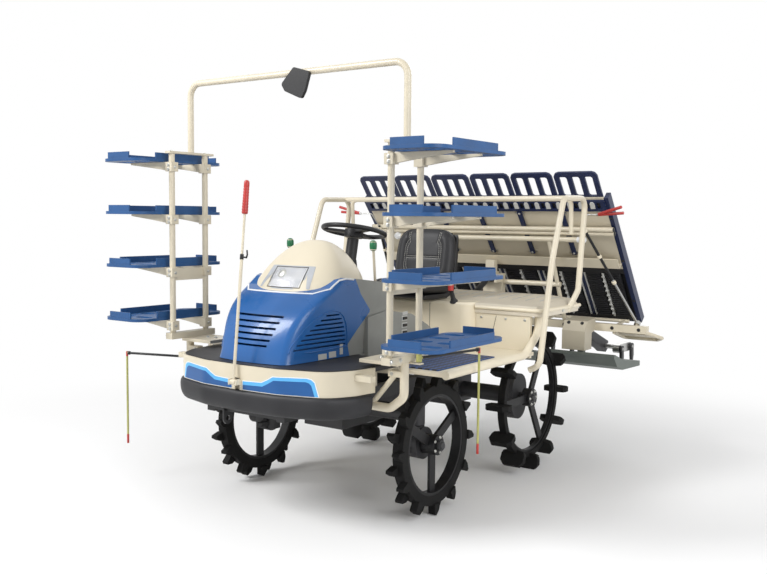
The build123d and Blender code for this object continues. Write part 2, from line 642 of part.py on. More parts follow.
for side, sign in SIDES:
    hub = (sign * TREAD / 2, at(0), FRONT_WHEEL_RADIUS)
    with BuildPart() as knuckle:
        add(bar((sign * KING_PIN_X, at(0), 300), (sign * KING_PIN_X, at(0), 452), 46))
        add(bar((sign * KING_PIN_X, at(0), 400), (sign * KING_PIN_X, at(0), 548), KING_PIN_RADIUS))
        add(bar((sign * 496, at(0), FRONT_WHEEL_RADIUS), (sign * 556, at(0), FRONT_WHEEL_RADIUS),
                KNUCKLE_CASE_RADIUS))
        add(bar((sign * 540, at(0), FRONT_WHEEL_RADIUS), (sign * 648, at(0), FRONT_WHEEL_RADIUS),
                STUB_RADIUS))
        add(bar((sign * 646, at(0), FRONT_WHEEL_RADIUS), (sign * 662, at(0), FRONT_WHEEL_RADIUS), 28))
        # steering arm
        add(block((sign * KING_PIN_X - 15, at(-120), 320), (sign * KING_PIN_X + 15, at(-30), 345)))
    knuckle.part.label = f"knuckle_{side}"
    export_step(knuckle.part, f"parts/knuckle_{side}.step")

    wheel = Plane(origin=hub, x_dir=(0, 1, 0), z_dir=(1, 0, 0))
    with BuildPart() as front_wheel:
        with BuildSketch(wheel):
            Circle(FRONT_OPENING + 14)
            Circle(FRONT_OPENING, mode=Mode.SUBTRACT)
        extrude(amount=28, both=True)
        with BuildSketch(wheel):
            with PolarLocations(FRONT_OPENING / 2, 3, start_angle=30):
                Rectangle(FRONT_OPENING + 10, 50)
        extrude(amount=8, both=True)
        with BuildSketch(wheel):
            Circle(52)
        extrude(amount=42, both=True)
        with BuildSketch(wheel):
            Circle(STUB_RADIUS + RUNNING_CLEARANCE)
        extrude(amount=60, both=True, mode=Mode.SUBTRACT)
    front_wheel.part.label = f"front_wheel_{side}"
    export_step(front_wheel.part, f"parts/front_wheel_{side}.step")

    with BuildPart() as front_tyre:
        with BuildSketch(wheel):
            Circle(FRONT_OPENING + 66)
            Circle(FRONT_OPENING + 14.2, mode=Mode.SUBTRACT)
        extrude(amount=30, both=True)
        # hooked lugs, set by turns on the outer and the inner half
        for half in (0, 1):
            with BuildSketch(wheel):
                with PolarLocations(FRONT_OPENING + 60, FRONT_LUGS // 2, start_angle=half * 360 / FRONT_LUGS):
                    Polygon((0, -26), (52, -24), (58, -10), (34, 14), (0, 26), align=None)
            extrude(amount=(1 - 2 * half) * FRONT_TYRE_WIDTH / 2)
    front_tyre.part.label = f"front_tyre_{side}"
    export_step(front_tyre.part, f"parts/front_tyre_{side}.step")

# Rear wheels: narrow ring with broad paddle lugs
REAR_OPENING = 318
REAR_LUGS = 12
PADDLE_HALF = 75
PADDLE_FOOT = REAR_OPENING + 22
REAR_BEARING = 25
for side, sign in SIDES:
    hub = (sign * TREAD / 2, at(WHEELBASE), REAR_WHEEL_RADIUS)
    wheel = Plane(origin=hub, x_dir=(0, 1, 0), z_dir=(1, 0, 0))
    with BuildPart() as rear_wheel:
        with BuildSketch(wheel):
            Circle(REAR_OPENING + 12)
            Circle(REAR_OPENING, mode=Mode.SUBTRACT)
        extrude(amount=14, both=True)
        with BuildSketch(wheel):
            with PolarLocations(REAR_OPENING / 2, 3, start_angle=60):
                Rectangle(REAR_OPENING + 10, 48)
        extrude(amount=8, both=True)
        with BuildSketch(wheel):
            Circle(55)
        extrude(amount=28, both=True)
        with BuildSketch(wheel):
            Circle(REAR_BEARING + RUNNING_CLEARANCE)
        extrude(amount=60, both=True, mode=Mode.SUBTRACT)
    rear_wheel.part.label = f"rear_wheel_{side}"
    export_step(rear_wheel.part, f"parts/rear_wheel_{side}.step")

    with BuildPart() as rear_tyre:
        with BuildSketch(wheel):
            Circle(REAR_OPENING + 46)
            Circle(REAR_OPENING + 12.2, mode=Mode.SUBTRACT)
        extrude(amount=22, both=True)
        for lug in range(REAR_LUGS):
            turn = radians(lug * 360 / REAR_LUGS)
            with BuildSketch(Plane(origin=hub, x_dir=(1, 0, 0), z_dir=(0, -sin(turn), cos(turn)))):
                # the sketch's own y axis points outwards along the radius
                Polygon((-22, PADDLE_FOOT), (22, PADDLE_FOOT), (PADDLE_HALF - 8, 352), (PADDLE_HALF, 372),
                        (PADDLE_HALF, 412), (PADDLE_HALF - 24, REAR_WHEEL_RADIUS),
                        (24 - PADDLE_HALF, REAR_WHEEL_RADIUS), (-PADDLE_HALF, 412), (-PADDLE_HALF, 372),
                        (8 - PADDLE_HALF, 352), align=None)
            extrude(amount=15, both=True)
    rear_tyre.part.label = f"rear_tyre_{side}"
    export_step(rear_tyre.part, f"parts/rear_tyre_{side}.step")

# Lift: parallel links between the hitch posts and the planter frame
CROSS_REACH = 240
CROSS_RISE = 90
LINK_RADIUS = 18
EAR_X = (34, 46)


def on_link(reach, rise):
    """Place on the lower links' middle plane: along the link and square above it."""
    turn = radians(LIFT_REST_ANGLE)
    return (0, at(LINK_FRONT_STATION) + reach * cos(turn) - rise * sin(turn),
            LOWER_LINK_Z + reach * sin(turn) + rise * cos(turn))


ROD_EYE = on_link(CROSS_REACH, CROSS_RISE)
with BuildPart() as lower_links:
    for sign in (1, -1):
        x = sign * LOWER_LINK_X
        add(bar((x, at(LINK_FRONT_STATION), LOWER_LINK_Z), (x, *on_link(LIFT_LINK_LENGTH, 0)[1:]),
                LINK_RADIUS))
        # front bush; the middle stays open for the lift cylinder
        with Locations((x, at(LINK_FRONT_STATION), LOWER_LINK_Z)):
            Cylinder(26, 50, rotation=(0, 90, 0))
    with Locations(on_link(LIFT_LINK_LENGTH, 0)):
        Cylinder(26, 2 * LOWER_LINK_X + 40, rotation=(0, 90, 0))
    for pin in (on_link(0, 0), on_link(LIFT_LINK_LENGTH, 0)):
        with Locations(pin):
            Cylinder(PIN_RADIUS + RUNNING_CLEARANCE, 500, rotation=(0, 90, 0), mode=Mode.SUBTRACT)
    # cross tube with two ears that hold the cylinder's pin above it
    tube_y, tube_z = on_link(CROSS_REACH, 0)[1:]
    add(bar((-LOWER_LINK_X, tube_y, tube_z), (LOWER_LINK_X, tube_y, tube_z), 20))
    for sign in (1, -1):
        with BuildSketch(Plane(origin=(min(sign * EAR_X[0], sign * EAR_X[1]), 0, 0), x_dir=(0, 1, 0),
                               z_dir=(1, 0, 0))):
            with BuildLine():
                Polyline(on_link(CROSS_REACH - 28, 0)[1:], on_link(CROSS_REACH + 28, 0)[1:],
                         on_link(CROSS_REACH + 18, CROSS_RISE + 20)[1:],
                         on_link(CROSS_REACH - 18, CROSS_RISE + 20)[1:], close=True)
            make_face()
        extrude(amount=EAR_X[1] - EAR_X[0])
    add(bar((-EAR_X[1], *ROD_EYE[1:]), (EAR_X[1], *ROD_EYE[1:]), PIN_RADIUS))
lower_links.part.label = "lower_links"
export_step(lower_links.part, "parts/lower_links.step")

with BuildPart() as upper_link:
    add(bar((0, at(LINK_FRONT_STATION), UPPER_LINK_Z),
            (0, at(LINK_REAR_STATION), UPPER_LINK_Z + LINK_RISE), 20))
    with Locations((0, at(LINK_FRONT_STATION), UPPER_LINK_Z),
                   (0, at(LINK_REAR_STATION), UPPER_LINK_Z + LINK_RISE)):
        Cylinder(28, 90, rotation=(0, 90, 0))
        Cylinder(PIN_RADIUS + RUNNING_CLEARANCE, 100, rotation=(0, 90, 0), mode=Mode.SUBTRACT)
upper_link.part.label = "upper_link"
export_step(upper_link.part, "parts/upper_link.step")

# Lift cylinder between the chassis and the raised pin of the lower links
ROD_RADIUS = 15
ROD_START = 120
EYE_PLAY = 15
EYE_SLACK = 4
BARREL_RADIUS = 28

with BuildPart() as lift_barrel:
    foot, eye = Vector(*CYLINDER_FOOT), Vector(*ROD_EYE)
    along = (eye - foot).normalized()
    barrel_plane = Plane(origin=foot, x_dir=(1, 0, 0), z_dir=along)
    with BuildSketch(barrel_plane.offset(20)):
        Circle(BARREL_RADIUS)
    extrude(amount=270)
    with BuildSketch(barrel_plane.offset(60)):
        Circle(ROD_RADIUS + RUNNING_CLEARANCE)
    extrude(amount=240, mode=Mode.SUBTRACT)
    with Locations(CYLINDER_FOOT):
        Cylinder(24, 50, rotation=(0, 90, 0))
        Cylinder(PIN_RADIUS + RUNNING_CLEARANCE, 60, rotation=(0, 90, 0), mode=Mode.SUBTRACT)
lift_barrel.part.label = "lift_barrel"
export_step(lift_barrel.part, "parts/lift_barrel.step")

with BuildPart() as lift_rod:
    with BuildSketch(barrel_plane.offset(ROD_START)):
        Circle(ROD_RADIUS)
    extrude(amount=(eye - foot).length - ROD_START - 30)
    eye_plane = Plane(origin=eye, x_dir=along, z_dir=(1, 0, 0))
    with BuildSketch(eye_plane.offset(-20)):
        SlotCenterToCenter(2 * EYE_PLAY, 2 * (PIN_RADIUS + EYE_SLACK + 10))
        SlotCenterToCenter(2 * EYE_PLAY, 2 * (PIN_RADIUS + EYE_SLACK), mode=Mode.SUBTRACT)
    extrude(amount=40)
lift_rod.part.label = "lift_rod"
export_step(lift_rod.part, "parts/lift_rod.step")

# Planter frame: hitch mast, base beam, tank rails and side guards
BASE_STATION = 1900
BASE_Z = 815
BASE_HALF_WIDTH = 1050
slope = radians(TANK_SLOPE)
TANK_FOOT = (0, at(2140), 845)
tank_plane = Plane(origin=TANK_FOOT, x_dir=(1, 0, 0), z_dir=(0, -cos(slope), -sin(slope)))


def on_tank(x, v, w):
    """Point x across, v up the slope and w out of its front face."""
    return (Vector(*TANK_FOOT) + Vector(x, 0, 0) + Vector(0, -sin(slope), cos(slope)) * v
            + Vector(0, -cos(slope), -sin(slope)) * w)


STRUT_X = 480
UPPER_CROSS = (at(1600), 1400)
UPPER_CROSS_HALF = 700
MARKER_X = 958
MARKER_V = 110
MARKER_W = 135
MARKER_PIN = 8

with BuildPart() as planter_frame:
    rear_low = LOWER_LINK_Z + LINK_RISE
    rear_high = UPPER_LINK_Z + LINK_RISE
    mast_y = at(LINK_REAR_STATION)
    add(bar((-230, mast_y, rear_low), (230, mast_y, rear_low), PIN_RADIUS))
    add(bar((-70, mast_y, rear_high), (70, mast_y, rear_high), PIN_RADIUS))
    for sign in (1, -1):
        add(block((sign * 214, mast_y - 25, rear_low - 30), (sign * 230, mast_y + 90, rear_low + 30)))
        add(block((sign * 58, mast_y - 25, rear_high - 30), (sign * 74, mast_y + 90, rear_high + 30)))
    add(block((-74, mast_y + 60, rear_low - 50), (74, mast_y + 110, rear_high + 30)))
    add(block((-230, mast_y + 60, rear_low - 45), (230, mast_y + 100, rear_low + 30)))
    # head of the mast, stepped forward over the upper link
    add(block((-34, mast_y + 46, rear_high + 20), (34, mast_y + 90, rear_high + 44)))
    add(block((-34, mast_y + 18, rear_high + 36), (34, mast_y + 62, rear_high + 124)))
    add(block((-BASE_HALF_WIDTH, at(BASE_STATION) - 25, BASE_Z - 25),
              (BASE_HALF_WIDTH, at(BASE_STATION) + 25, BASE_Z + 25)))
    for sign in (1, -1):
        add(block((sign * 170, mast_y + 95, BASE_Z - 22), (sign * 210, at(BASE_STATION), BASE_Z + 22)))
        # strut up to the cross tubes, short arm to the tank's face
        add(bar((sign * STRUT_X, at(BASE_STATION), BASE_Z), (sign * STRUT_X, *UPPER_CROSS), 14))
        add(bar((sign * STRUT_X, *UPPER_CROSS), on_tank(sign * STRUT_X, 715, 44), 12))
        # guard beside the outer rows, with its flat plate
        add(tube(((sign * 830, at(1890), 785), (sign * 830, at(2080), 735), (sign * 1060, at(2080), 735),
                  (sign * 1120, at(1990), 760), (sign * 1035, at(1895), 800)), 25, 12))
        with BuildSketch(Plane(origin=(0, at(1990), 762), x_dir=(1, 0, 0), z_dir=(0, 0.22, 0.9755))):
            Polygon((sign * 838, -80), (sign * 838, 84), (sign * 1054, 84), (sign * 1106, 4),
                    (sign * 1040, -80), align=None)
        extrude(amount=4)
        # pin of the line marker
        add(bar(on_tank(sign * MARKER_X, MARKER_V, MARKER_W + 60),
                on_tank(sign * MARKER_X, MARKER_V, MARKER_W - 18), MARKER_PIN))
        for x in (300, 820):
            add(bar((sign * x, at(BASE_STATION), BASE_Z + 5), on_tank(sign * x, 20, 30), 10))
    add(bar(on_tank(-850, 20, 30), on_tank(850, 20, 30), 12))
    add(bar((-UPPER_CROSS_HALF, *UPPER_CROSS), (UPPER_CROSS_HALF, *UPPER_CROSS), 17))
    add(bar((-500, at(1756), 1095), (500, at(1756), 1095), 17))
planter_frame.part.label = "planter_frame"
export_step(planter_frame.part, "parts/planter_frame.step")

# Drive cases: three cases on the base beam, each ending in a bearing for the planting rotors
ROW_PAIR_X = (-600, 0, 600)
ROTOR_STATION = 2255
ROTOR_Z = 640
ROTOR_SHAFT_RADIUS = 18
CASE_PROFILE = ((BASE_STATION - 60, 738), (BASE_STATION + 60, 738), (ROTOR_STATION, 596),
                (ROTOR_STATION + 42, 620), (ROTOR_STATION + 42, 670), (BASE_STATION + 60, 790),
                (BASE_STATION - 60, 790))

with BuildPart() as drive_cases:
    for x in ROW_PAIR_X:
        add(side_slab(stations(CASE_PROFILE), x - 32, x + 32))
        with Locations((x, at(ROTOR_STATION), ROTOR_Z)):
            Cylinder(ROTOR_SHAFT_RADIUS + RUNNING_CLEARANCE, 80, rotation=(0, 90, 0), mode=Mode.SUBTRACT)
drive_cases.part.label = "drive_cases"
export_step(drive_cases.part, "parts/drive_cases.step")

# Planting rotors: oval cases on one shaft line, a pair of planting arms on each
ROTOR_ARM = 95
ROW_X = [(i - 2.5) * ROW_SPACING for i in range(6)]
CASE_WIDTH = 44
ARM_PIN_RADIUS = 10
ARM_WIDTH = 18


def away_from_shaft(x):
    """Side of a row's rotor case that faces away from its drive case."""
    nearest = min(ROW_PAIR_X, key=lambda pair: abs(pair - x))
    return 1 if x > nearest else -1


with BuildPart() as rotors:
    for x in ROW_PAIR_X:
        add(bar((x - ROW_SPACING / 2, at(ROTOR_STATION), ROTOR_Z),
                (x + ROW_SPACING / 2, at(ROTOR_STATION), ROTOR_Z), ROTOR_SHAFT_RADIUS))
    for x in ROW_X:
        with BuildSketch(Plane(origin=(x - CASE_WIDTH / 2, at(ROTOR_STATION), ROTOR_Z), x_dir=(0, 1, 0),
                               z_dir=(1, 0, 0))):
            SlotCenterToCenter(2 * ROTOR_ARM, 60)
        extrude(amount=CASE_WIDTH)
        for reach in (ROTOR_ARM, -ROTOR_ARM):
            pin_end = x + away_from_shaft(x) * (CASE_WIDTH / 2 + ARM_WIDTH + 4)
            add(bar((x, at(ROTOR_STATION) + reach, ROTOR_Z), (pin_end, at(ROTOR_STATION) + reach, ROTOR_Z),
                    ARM_PIN_RADIUS))
rotors.part.label = "rotors"
export_step(rotors.part, "parts/rotors.step")

ARM_HUB_RADIUS = 24
ARM_PROFILE = ((-18, 10), (18, 10), (26, -60), (10, -120), (-2, -118), (-14, -60))
for name, reach in (("arms_rear", ROTOR_ARM), ("arms_front", -ROTOR_ARM)):
    with BuildPart() as arms:
        for x in ROW_X:
            outward = away_from_shaft(x)
            inner = x + outward * (CASE_WIDTH / 2 + 2)
            hub_y = at(ROTOR_STATION) + reach
            low_x = min(inner, inner + outward * ARM_WIDTH)
            add(side_slab([(hub_y + y, ROTOR_Z + z) for y, z in ARM_PROFILE], low_x, low_x + ARM_WIDTH))
            with Locations((inner + outward * ARM_WIDTH / 2, hub_y, ROTOR_Z)):
                Cylinder(ARM_HUB_RADIUS, ARM_WIDTH, rotation=(0, 90, 0))
                Cylinder(ARM_PIN_RADIUS + RUNNING_CLEARANCE, ARM_WIDTH, rotation=(0, 90, 0),
                         mode=Mode.SUBTRACT)
    arms.part.label = name
    export_step(arms.part, f"parts/{name}.step")

# Floats: a broad one in the middle and a narrower one at each side
FLOAT_ROWS = ((-690, 480), (0, 620), (690, 480))
FLOAT_PROFILE = ((1640, 655), (1700, 588), (1800, 556), (2115, 546), (2115, 580), (1820, 616), (1660, 670))
with BuildPart() as floats:
    for x, width in FLOAT_ROWS:
        add(side_slab(stations(FLOAT_PROFILE), x - width / 2, x + width / 2, 5))
    for x in ROW_PAIR_X:
        add(block((x - 20, at(BASE_STATION) - 20, 570), (x + 20, at(BASE_STATION) + 20, 738)))
floats.part.label = "floats"
export_step(floats.part, "parts/floats.step")

# Box covers in front of the base beam, with a sloping lid
BOX_X = (545, 705)
BOX_PROFILE = ((1700, 672), (1700, 798), (1738, 862), (BASE_STATION - 25.5, 876), (BASE_STATION - 25.5, 794),
               (1815, 780), (1815, 672))
with BuildPart() as box_covers:
    for sign in (1, -1):
        add(side_slab(stations(BOX_PROFILE), min(sign * BOX_X[0], sign * BOX_X[1]),
                      max(sign * BOX_X[0], sign * BOX_X[1])))
    add(drive_cases.part, mode=Mode.SUBTRACT)
box_covers.part.label = "box_covers"
export_step(box_covers.part, "parts/box_covers.step")

# Seedling tank: plates, ribs, rails, belts and the slotted extension frames on top
TANK_LENGTH = 1060
PLATE_BOTTOM = 480
PLATE_SEAM = 770
PLATE_THICKNESS = 12
EDGE_WIDTH = 28
EDGE_INNER = TANK_HALF_WIDTH - EDGE_WIDTH
STRIP_TOP = 25


def on_face(x, v, w, width, length, depth):
    """Block on the tank's plane: centred at x, from v upwards and from w outwards."""
    with BuildPart() as slab:
        with BuildSketch(tank_plane.offset(w)):
            with Locations((x, v + length / 2)):
                Rectangle(width, length)
        extrude(amount=depth)
    return slab.part


with BuildPart() as tank_plates:
    for low, high in ((PLATE_BOTTOM, PLATE_SEAM), (PLATE_SEAM + 1, TANK_LENGTH)):
        add(on_face(0, low, 0, 2 * EDGE_INNER - 1, high - low, PLATE_THICKNESS))
tank_plates.part.label = "tank_plates"
export_step(tank_plates.part, "parts/tank_plates.step")

with BuildPart() as tank_ribs:
    for sign in (1, -1):
        add(on_face(sign * (TANK_HALF_WIDTH - EDGE_WIDTH / 2), 0, -44, EDGE_WIDTH, TANK_LENGTH, 56))
    for i in range(-2, 3):
        x = i * ROW_SPACING
        add(on_face(x, 0, -44, 28, TANK_LENGTH, 43.5))
        add(on_face(x, 600, PLATE_THICKNESS + 0.2, 30, 360, STRIP_TOP - PLATE_THICKNESS - 0.2))
    # notched row under the extension frames
    add(on_face(0, 966, PLATE_THICKNESS + 0.2, 2 * EDGE_INNER - 1, 82, 14))
    with BuildSketch(tank_plane.offset(PLATE_THICKNESS - 1)):
        with Locations((0, 1010)):
            with GridLocations(75, 0, 24, 1):
                Rectangle(26, 44)
    extrude(amount=30, mode=Mode.SUBTRACT)
tank_ribs.part.label = "tank_ribs"
export_step(tank_ribs.part, "parts/tank_ribs.step")

# light rails across the tank: a double tube and an angle along the plates' lower edge
RAIL_HALF = TANK_HALF_WIDTH - 5
with BuildPart() as tank_rails:
    for v in (800, 833):
        add(bar(on_tank(-RAIL_HALF, v, STRIP_TOP + 15), on_tank(RAIL_HALF, v, STRIP_TOP + 15), 15))
    add(on_face(0, 520, PLATE_THICKNESS + 0.2, 2 * EDGE_INNER - 1, 8, 42))
    add(on_face(0, 520, PLATE_THICKNESS + 36, 2 * EDGE_INNER - 1, 76, 8))
tank_rails.part.label = "tank_rails"
export_step(tank_rails.part, "parts/tank_rails.step")

with BuildPart() as tank_belts:
    for x in ROW_X:
        for shift in (-66, 66):
            add(on_face(x + shift, 42, -12, 96, PLATE_BOTTOM - 84, 24))
        add(on_face(x, 10, -34, ROW_SPACING - 30, PLATE_BOTTOM - 20, 6))
    for v in (5, PLATE_BOTTOM - 42):
        add(on_face(0, v, 0, 2 * EDGE_INNER - 1, 37, PLATE_THICKNESS))
tank_belts.part.label = "tank_belts"
export_step(tank_belts.part, "parts/tank_belts.step")

FRAME_BOTTOM = TANK_LENGTH - 20
FRAME_TOP = 1249
FRAME_WIDTH = ROW_SPACING - 15
with BuildPart() as extension_frames:
    for x in ROW_X:
        with BuildSketch(tank_plane.offset(-14)):
            with BuildLine():
                Polyline((x - FRAME_WIDTH / 2, FRAME_BOTTOM), (x + FRAME_WIDTH / 2, FRAME_BOTTOM),
                         (x + FRAME_WIDTH / 2, FRAME_TOP - 30), (x + FRAME_WIDTH / 2 - 12, FRAME_TOP - 8),
                         (x + FRAME_WIDTH / 2 - 34, FRAME_TOP), (x - FRAME_WIDTH / 2 + 34, FRAME_TOP),
                         (x - FRAME_WIDTH / 2 + 12, FRAME_TOP - 8), (x - FRAME_WIDTH / 2, FRAME_TOP - 30),
                         close=True)
            make_face()
            with Locations((x, FRAME_BOTTOM + 102)):
                with GridLocations(84, 0, 3, 1):
                    RectangleRounded(50, 146, 14, mode=Mode.SUBTRACT)
        extrude(amount=14)
    add(tank_ribs.part, mode=Mode.SUBTRACT)
extension_frames.part.label = "extension_frames"
export_step(extension_frames.part, "parts/extension_frames.step")

# Line markers, folded up in front of the tank: rod, thin wire and a two-pronged fork
MARKER_TIP = (782, 914)
WIRE_CORNER = (800, 1028)
FORK_FOOT = (893, 1028)
FORK_TIPS = ((1057, 1087), (1060, 1042))
for side, sign in SIDES:
    foot = on_tank(sign * MARKER_X, MARKER_V, MARKER_W)
    tip, corner, fork = [on_tank(sign * x, v, MARKER_W) for x, v in (MARKER_TIP, WIRE_CORNER, FORK_FOOT)]
    with BuildPart() as marker:
        add(bar(foot, tip, 8))
        add(tube((tip - (corner - tip).normalized() * 6, corner, fork), 20, 4))
        for x, v in FORK_TIPS:
            add(bar(fork, on_tank(sign * x, v, MARKER_W), 8))
        with BuildSketch(tank_plane.offset(MARKER_W - 13)):
            with Locations((sign * MARKER_X, MARKER_V)):
                Circle(20)
        extrude(amount=26)
        with BuildSketch(tank_plane.offset(MARKER_W - 20)):
            with Locations((sign * MARKER_X, MARKER_V)):
                Circle(MARKER_PIN + RUNNING_CLEARANCE)
        extrude(amount=40, mode=Mode.SUBTRACT)
    marker.part.label = f"line_marker_{side}"
    export_step(marker.part, f"parts/line_marker_{side}.step")

# Side markers: a rod on the racks' frame with a hanging rod at its end
HANGING_ROD = 530
SIDE_ROD_RADIUS = 6
for side, sign, height, fold, reach in (("left", 1, MARKER_HEIGHTS[0], 80, 440),
                                        ("right", -1, MARKER_HEIGHTS[1], -17, 395)):
    pivot = Vector(sign * SIDE_PIVOT[0], at(SIDE_PIVOT[1]), height)
    outward = Vector(sign * cos(radians(fold)), sin(radians(fold)), 0)
    end = pivot + outward * reach
    with BuildPart() as side_marker:
        add(bar(pivot + outward * 9, end, SIDE_ROD_RADIUS))
        add(bar(end + Vector(0, 0, 8), end - Vector(0, 0, HANGING_ROD), SIDE_ROD_RADIUS))
        with Locations(pivot):
            Cylinder(14, 36)
            Cylinder(SIDE_ROD_RADIUS + RUNNING_CLEARANCE, 40, mode=Mode.SUBTRACT)
    side_marker.part.label = f"side_marker_{side}"
    export_step(side_marker.part, f"parts/side_marker_{side}.step")

# Centre pole on the front skirt
POLE_TOP = (at(-740), 1700)
with BuildPart() as centre_pole:
    foot = Vector(0, at(POLE_STATION), POLE_FOOT_Z)
    top = Vector(0, *POLE_TOP)
    run = (top - foot).normalized()
    add(bar(foot + run * 9, top, 6))
    add(bar(top - run * 150, top, 12))
    with Locations(foot):
        Cylinder(13, 32, rotation=(0, 90, 0))
        Cylinder(5 + RUNNING_CLEARANCE, 40, rotation=(0, 90, 0), mode=Mode.SUBTRACT)
centre_pole.part.label = "centre_pole"
export_step(centre_pole.part, "parts/centre_pole.step")
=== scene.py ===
import json
import math

import bmesh
import bpy
from mathutils import Matrix, Vector
from mathutils.bvhtree import BVHTree

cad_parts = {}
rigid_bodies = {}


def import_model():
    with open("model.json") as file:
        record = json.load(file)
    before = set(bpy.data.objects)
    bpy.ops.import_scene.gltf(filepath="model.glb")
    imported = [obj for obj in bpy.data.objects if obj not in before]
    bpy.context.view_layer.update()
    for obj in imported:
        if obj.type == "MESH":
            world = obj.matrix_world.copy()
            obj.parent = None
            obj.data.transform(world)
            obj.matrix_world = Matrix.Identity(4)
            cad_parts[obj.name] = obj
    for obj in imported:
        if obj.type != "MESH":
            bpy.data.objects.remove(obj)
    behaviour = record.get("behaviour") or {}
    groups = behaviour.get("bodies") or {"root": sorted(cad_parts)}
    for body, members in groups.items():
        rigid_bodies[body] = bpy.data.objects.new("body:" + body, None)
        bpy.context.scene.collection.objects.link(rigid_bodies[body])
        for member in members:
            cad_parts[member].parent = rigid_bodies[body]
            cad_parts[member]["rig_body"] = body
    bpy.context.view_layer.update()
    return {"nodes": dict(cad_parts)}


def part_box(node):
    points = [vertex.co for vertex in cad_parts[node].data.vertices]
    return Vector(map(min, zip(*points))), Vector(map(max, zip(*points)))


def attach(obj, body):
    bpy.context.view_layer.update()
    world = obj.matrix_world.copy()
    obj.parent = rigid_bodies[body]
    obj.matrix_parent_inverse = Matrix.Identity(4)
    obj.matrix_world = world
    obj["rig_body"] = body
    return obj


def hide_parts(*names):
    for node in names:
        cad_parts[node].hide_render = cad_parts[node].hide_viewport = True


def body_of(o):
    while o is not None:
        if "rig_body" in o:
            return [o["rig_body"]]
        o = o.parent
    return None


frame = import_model()

bl_info = {
    "name": "Rice Transplanter Dressing",
    "version": (1, 0, 0),
    "blender": (4, 5, 0),
    "location": "View3D > Sidebar > Transplanter",
    "description": "Finishes and fittings for a riding rice transplanter",
    "category": "Object",
}

# Stations are counted backwards from the front axle, in metres
FRONT_AXLE_Y = -0.765

# The photograph: where its camera stood, how it was turned, and its picture in pixels
CAMERA_FROM_AXLE = Vector((3.1045, -4.0134, 1.5302))
CAMERA_YAW = math.radians(36.04)
CAMERA_PITCH = math.radians(-4.61)
CAMERA_ROLL = math.radians(0.48)
PHOTO_WIDTH = 767
PHOTO_HEIGHT = 575
FOCAL_PIXELS = 927.83
CENTRE_X = 367.96
CENTRE_Y = 292.41

# The seedling tank slopes up and forwards from its foot, which is a station and a height
TANK_SLOPE = math.radians(39)
TANK_FOOT = (2.140, 0.845)
TANK_UP = Vector((0, -math.sin(TANK_SLOPE), math.cos(TANK_SLOPE)))
TANK_OUT = Vector((0, -math.cos(TANK_SLOPE), -math.sin(TANK_SLOPE)))

# Directions of the frame, and a place in front of the whole machine
ACROSS = Vector((1, 0, 0))
BACK = Vector((0, 1, 0))
UP = Vector((0, 0, 1))
AHEAD_Y = FRONT_AXLE_Y - 1.2

SIDES = (("left", 1), ("right", -1))

# How far the rounded edges reach in a finish, and with them the painted edge tone: a painted highlight on
# the black finishes, darker on the creams
EDGE_WIDTH = 0.0015


class TransplanterColours(bpy.types.PropertyGroup):
    """Colours of the painted and moulded pieces"""

    cream: bpy.props.FloatVectorProperty(
        name="Cream paint", description="Frame, skirt, floor and racks",
        default=(0.76, 0.685, 0.53), min=0, max=1, size=3, subtype="COLOR")
    blue: bpy.props.FloatVectorProperty(
        name="Hood blue", description="Lower hood",
        default=(0.008, 0.100, 0.33), min=0, max=1, size=3, subtype="COLOR")
    tray_blue: bpy.props.FloatVectorProperty(
        name="Tray blue", description="Seedling trays",
        default=(0.016, 0.076, 0.215), min=0, max=1, size=3, subtype="COLOR")
    navy: bpy.props.FloatVectorProperty(
        name="Navy", description="Ribs and extension frames of the seedling tank",
        default=(0.006, 0.014, 0.058), min=0, max=1, size=3, subtype="COLOR")
    red: bpy.props.FloatVectorProperty(
        name="Red grips", description="Pole grip, seat lever's knob, marker forks and marker tips",
        default=(0.46, 0.035, 0.03), min=0, max=1, size=3, subtype="COLOR")
    sky_band: bpy.props.FloatVectorProperty(
        name="Sky band", description="Light border of the bands on the front skirt",
        default=(0.10, 0.42, 0.80), min=0, max=1, size=3, subtype="COLOR")
    knob_green: bpy.props.FloatVectorProperty(
        name="Lever knobs", description="Knobs of the two levers beside the dash",
        default=(0.01, 0.16, 0.06), min=0, max=1, size=3, subtype="COLOR")


class TransplanterSizes(bpy.types.PropertyGroup):
    """Sizes of the fittings"""

    bolt_radius: bpy.props.FloatProperty(
        name="Bolt radius", description="Half width of the largest bolt heads, on the arms and the beam",
        default=0.009, min=0.002, max=0.03, unit="LENGTH")
    seat_half_width: bpy.props.FloatProperty(
        name="Seat half width", description="Half the width of the cushion and the backrest",
        default=0.206, min=0.15, max=0.215, unit="LENGTH")
    stitch_length: bpy.props.FloatProperty(
        name="Stitch length", description="Length of one stitch of the seat cover",
        default=0.009, min=0.003, max=0.02, unit="LENGTH")


def station(y):
    """Row frame y of a station counted from the front axle."""
    return FRONT_AXLE_Y + y


def colours():
    """The colours that the panel holds."""
    return bpy.context.scene.transplanter_colours


def sizes():
    """The sizes that the panel holds."""
    return bpy.context.scene.transplanter_sizes


def spread(start, end, count):
    """Numbers from start to end in a count of equal steps."""
    return [start + (end - start) * k / count for k in range(count + 1)]


def add_node(tree, kind, inputs=None, **settings):
    """Shader node with its settings; each input takes a wire or a plain value."""
    node = tree.nodes.new("ShaderNode" + kind)
    for name, value in settings.items():
        setattr(node, name, value)
    for key, value in (inputs or {}).items():
        if isinstance(value, bpy.types.NodeSocket):
            tree.links.new(value, node.inputs[key])
        else:
            node.inputs[key].default_value = value
    return node


